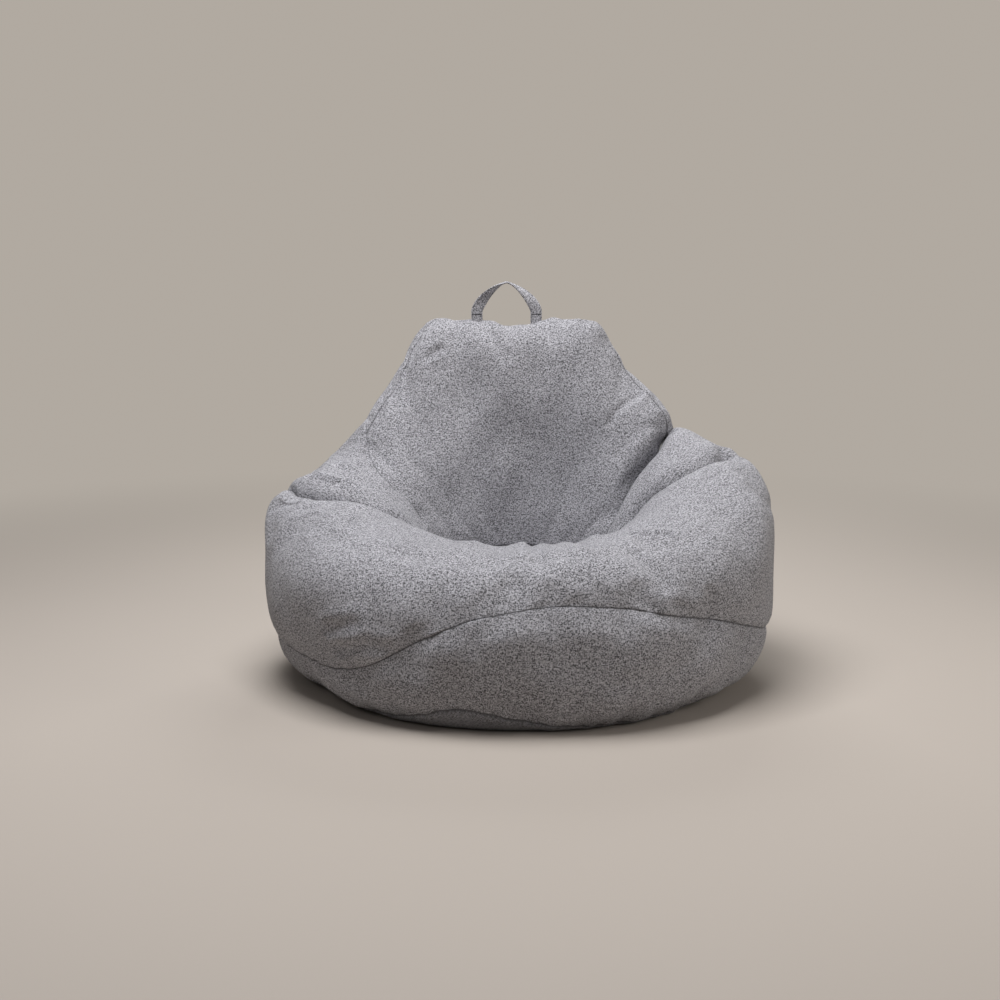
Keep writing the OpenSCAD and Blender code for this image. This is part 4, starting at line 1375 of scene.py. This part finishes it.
# ---- Floor, light and camera ----
SURROUND = (0.44, 0.40, 0.355)
FLOOR_R, FADE_FROM, FADE_TO, FLOOR_SIDES = 14.0, 1.1, 3.6, 64


def pale_floor():
    """Matt pale floor that fades into the surroundings with the distance from the chair."""
    material = bpy.data.materials.new("pale_floor")
    material.use_nodes = True
    add, join, sums = nodes_of(material.node_tree)
    shader = material.node_tree.nodes["Principled BSDF"]
    shader.inputs["Base Color"].default_value = (0.46, 0.41, 0.36, 1)
    shader.inputs["Roughness"].default_value = 0.85
    place_ = add("ShaderNodeTexCoord")
    far = add("ShaderNodeVectorMath", operation="LENGTH")
    join(place_.outputs["Object"], far.inputs[0])
    fade = add("ShaderNodeMapRange", interpolation_type="SMOOTHSTEP")
    join(far.outputs["Value"], fade.inputs["Value"])
    fade.inputs["From Min"].default_value = FADE_FROM
    fade.inputs["From Max"].default_value = FADE_TO
    glow = add("ShaderNodeEmission", Color=(*SURROUND, 1), Strength=1.0)
    mix = add("ShaderNodeMixShader")
    path = add("ShaderNodeLightPath")
    join(sums("MULTIPLY", fade.outputs["Result"], path.outputs["Is Camera Ray"]), mix.inputs[0])
    join(shader.outputs[0], mix.inputs[1])
    join(glow.outputs[0], mix.inputs[2])
    join(mix.outputs[0], material.node_tree.nodes["Material Output"].inputs["Surface"])
    return material


turns = np.linspace(0, 2 * math.pi, FLOOR_SIDES + 1)[:-1]
rim = [(FLOOR_R * math.cos(a), FLOOR_R * math.sin(a), 0) for a in turns]
floor = make("studio_floor", rim, [list(range(FLOOR_SIDES))], smooth=0)
floor.data.materials.append(pale_floor())


def softbox(name, at, aim, size, power, colour=(1, 1, 1)):
    light = bpy.data.lights.new(name, "AREA")
    light.shape = "RECTANGLE"
    light.size, light.size_y = size
    light.energy = power
    light.color = colour
    obj = bpy.data.objects.new(name, light)
    SCENE.collection.objects.link(obj)
    obj.location = at
    obj.rotation_euler = (Vector(aim) - Vector(at)).to_track_quat("-Z", "Y").to_euler()


softbox("overhead", (-0.4, -0.35, 3.0), (0, 0.05, 0.3), (1.8, 1.6), 96, (0.98, 0.98, 1.0))
softbox("key_left", (-2.2, -2.2, 2.6), (0, 0.2, 0.6), (1.2, 1.2), 7, (0.98, 0.98, 1.0))
softbox("fill_right", (2.9, -0.9, 1.5), (0.2, 0, 0.4), (1.4, 1.4), 25, (1.0, 0.97, 0.94))
softbox("back", (0.5, 3.4, 2.4), (0, 0, 0.4), (2.2, 1.6), 60)


def studio_world(lit):
    """Surroundings of the floor's own far colour, which light the chair only a little."""
    world = bpy.data.worlds.new("studio")
    world.use_nodes = True
    add, join, _ = nodes_of(world.node_tree)
    soft = world.node_tree.nodes["Background"]
    soft.inputs["Color"].default_value = (0.82, 0.82, 0.83, 1)
    soft.inputs["Strength"].default_value = lit
    seen = add("ShaderNodeBackground", Color=(*SURROUND, 1), Strength=1.0)
    mix = add("ShaderNodeMixShader")
    join(add("ShaderNodeLightPath").outputs["Is Camera Ray"], mix.inputs[0])
    join(soft.outputs[0], mix.inputs[1])
    join(seen.outputs[0], mix.inputs[2])
    join(mix.outputs[0], world.node_tree.nodes["World Output"].inputs["Surface"])
    return world


SCENE.world = studio_world(0.09)

LENS_MM, SENSOR_MM = 46.8, 36
CAMERA_AT, CAMERA_DOWN = (-0.0457, -2.83, 0.81), 8.75
lens = bpy.data.cameras.new("camera")
lens.lens = LENS_MM
lens.sensor_width = SENSOR_MM
camera = bpy.data.objects.new("camera", lens)
SCENE.collection.objects.link(camera)
camera.location = CAMERA_AT
camera.rotation_euler = (math.radians(90 - CAMERA_DOWN), 0, 0)
SCENE.camera = camera
SCENE.view_settings.view_transform = "Standard"
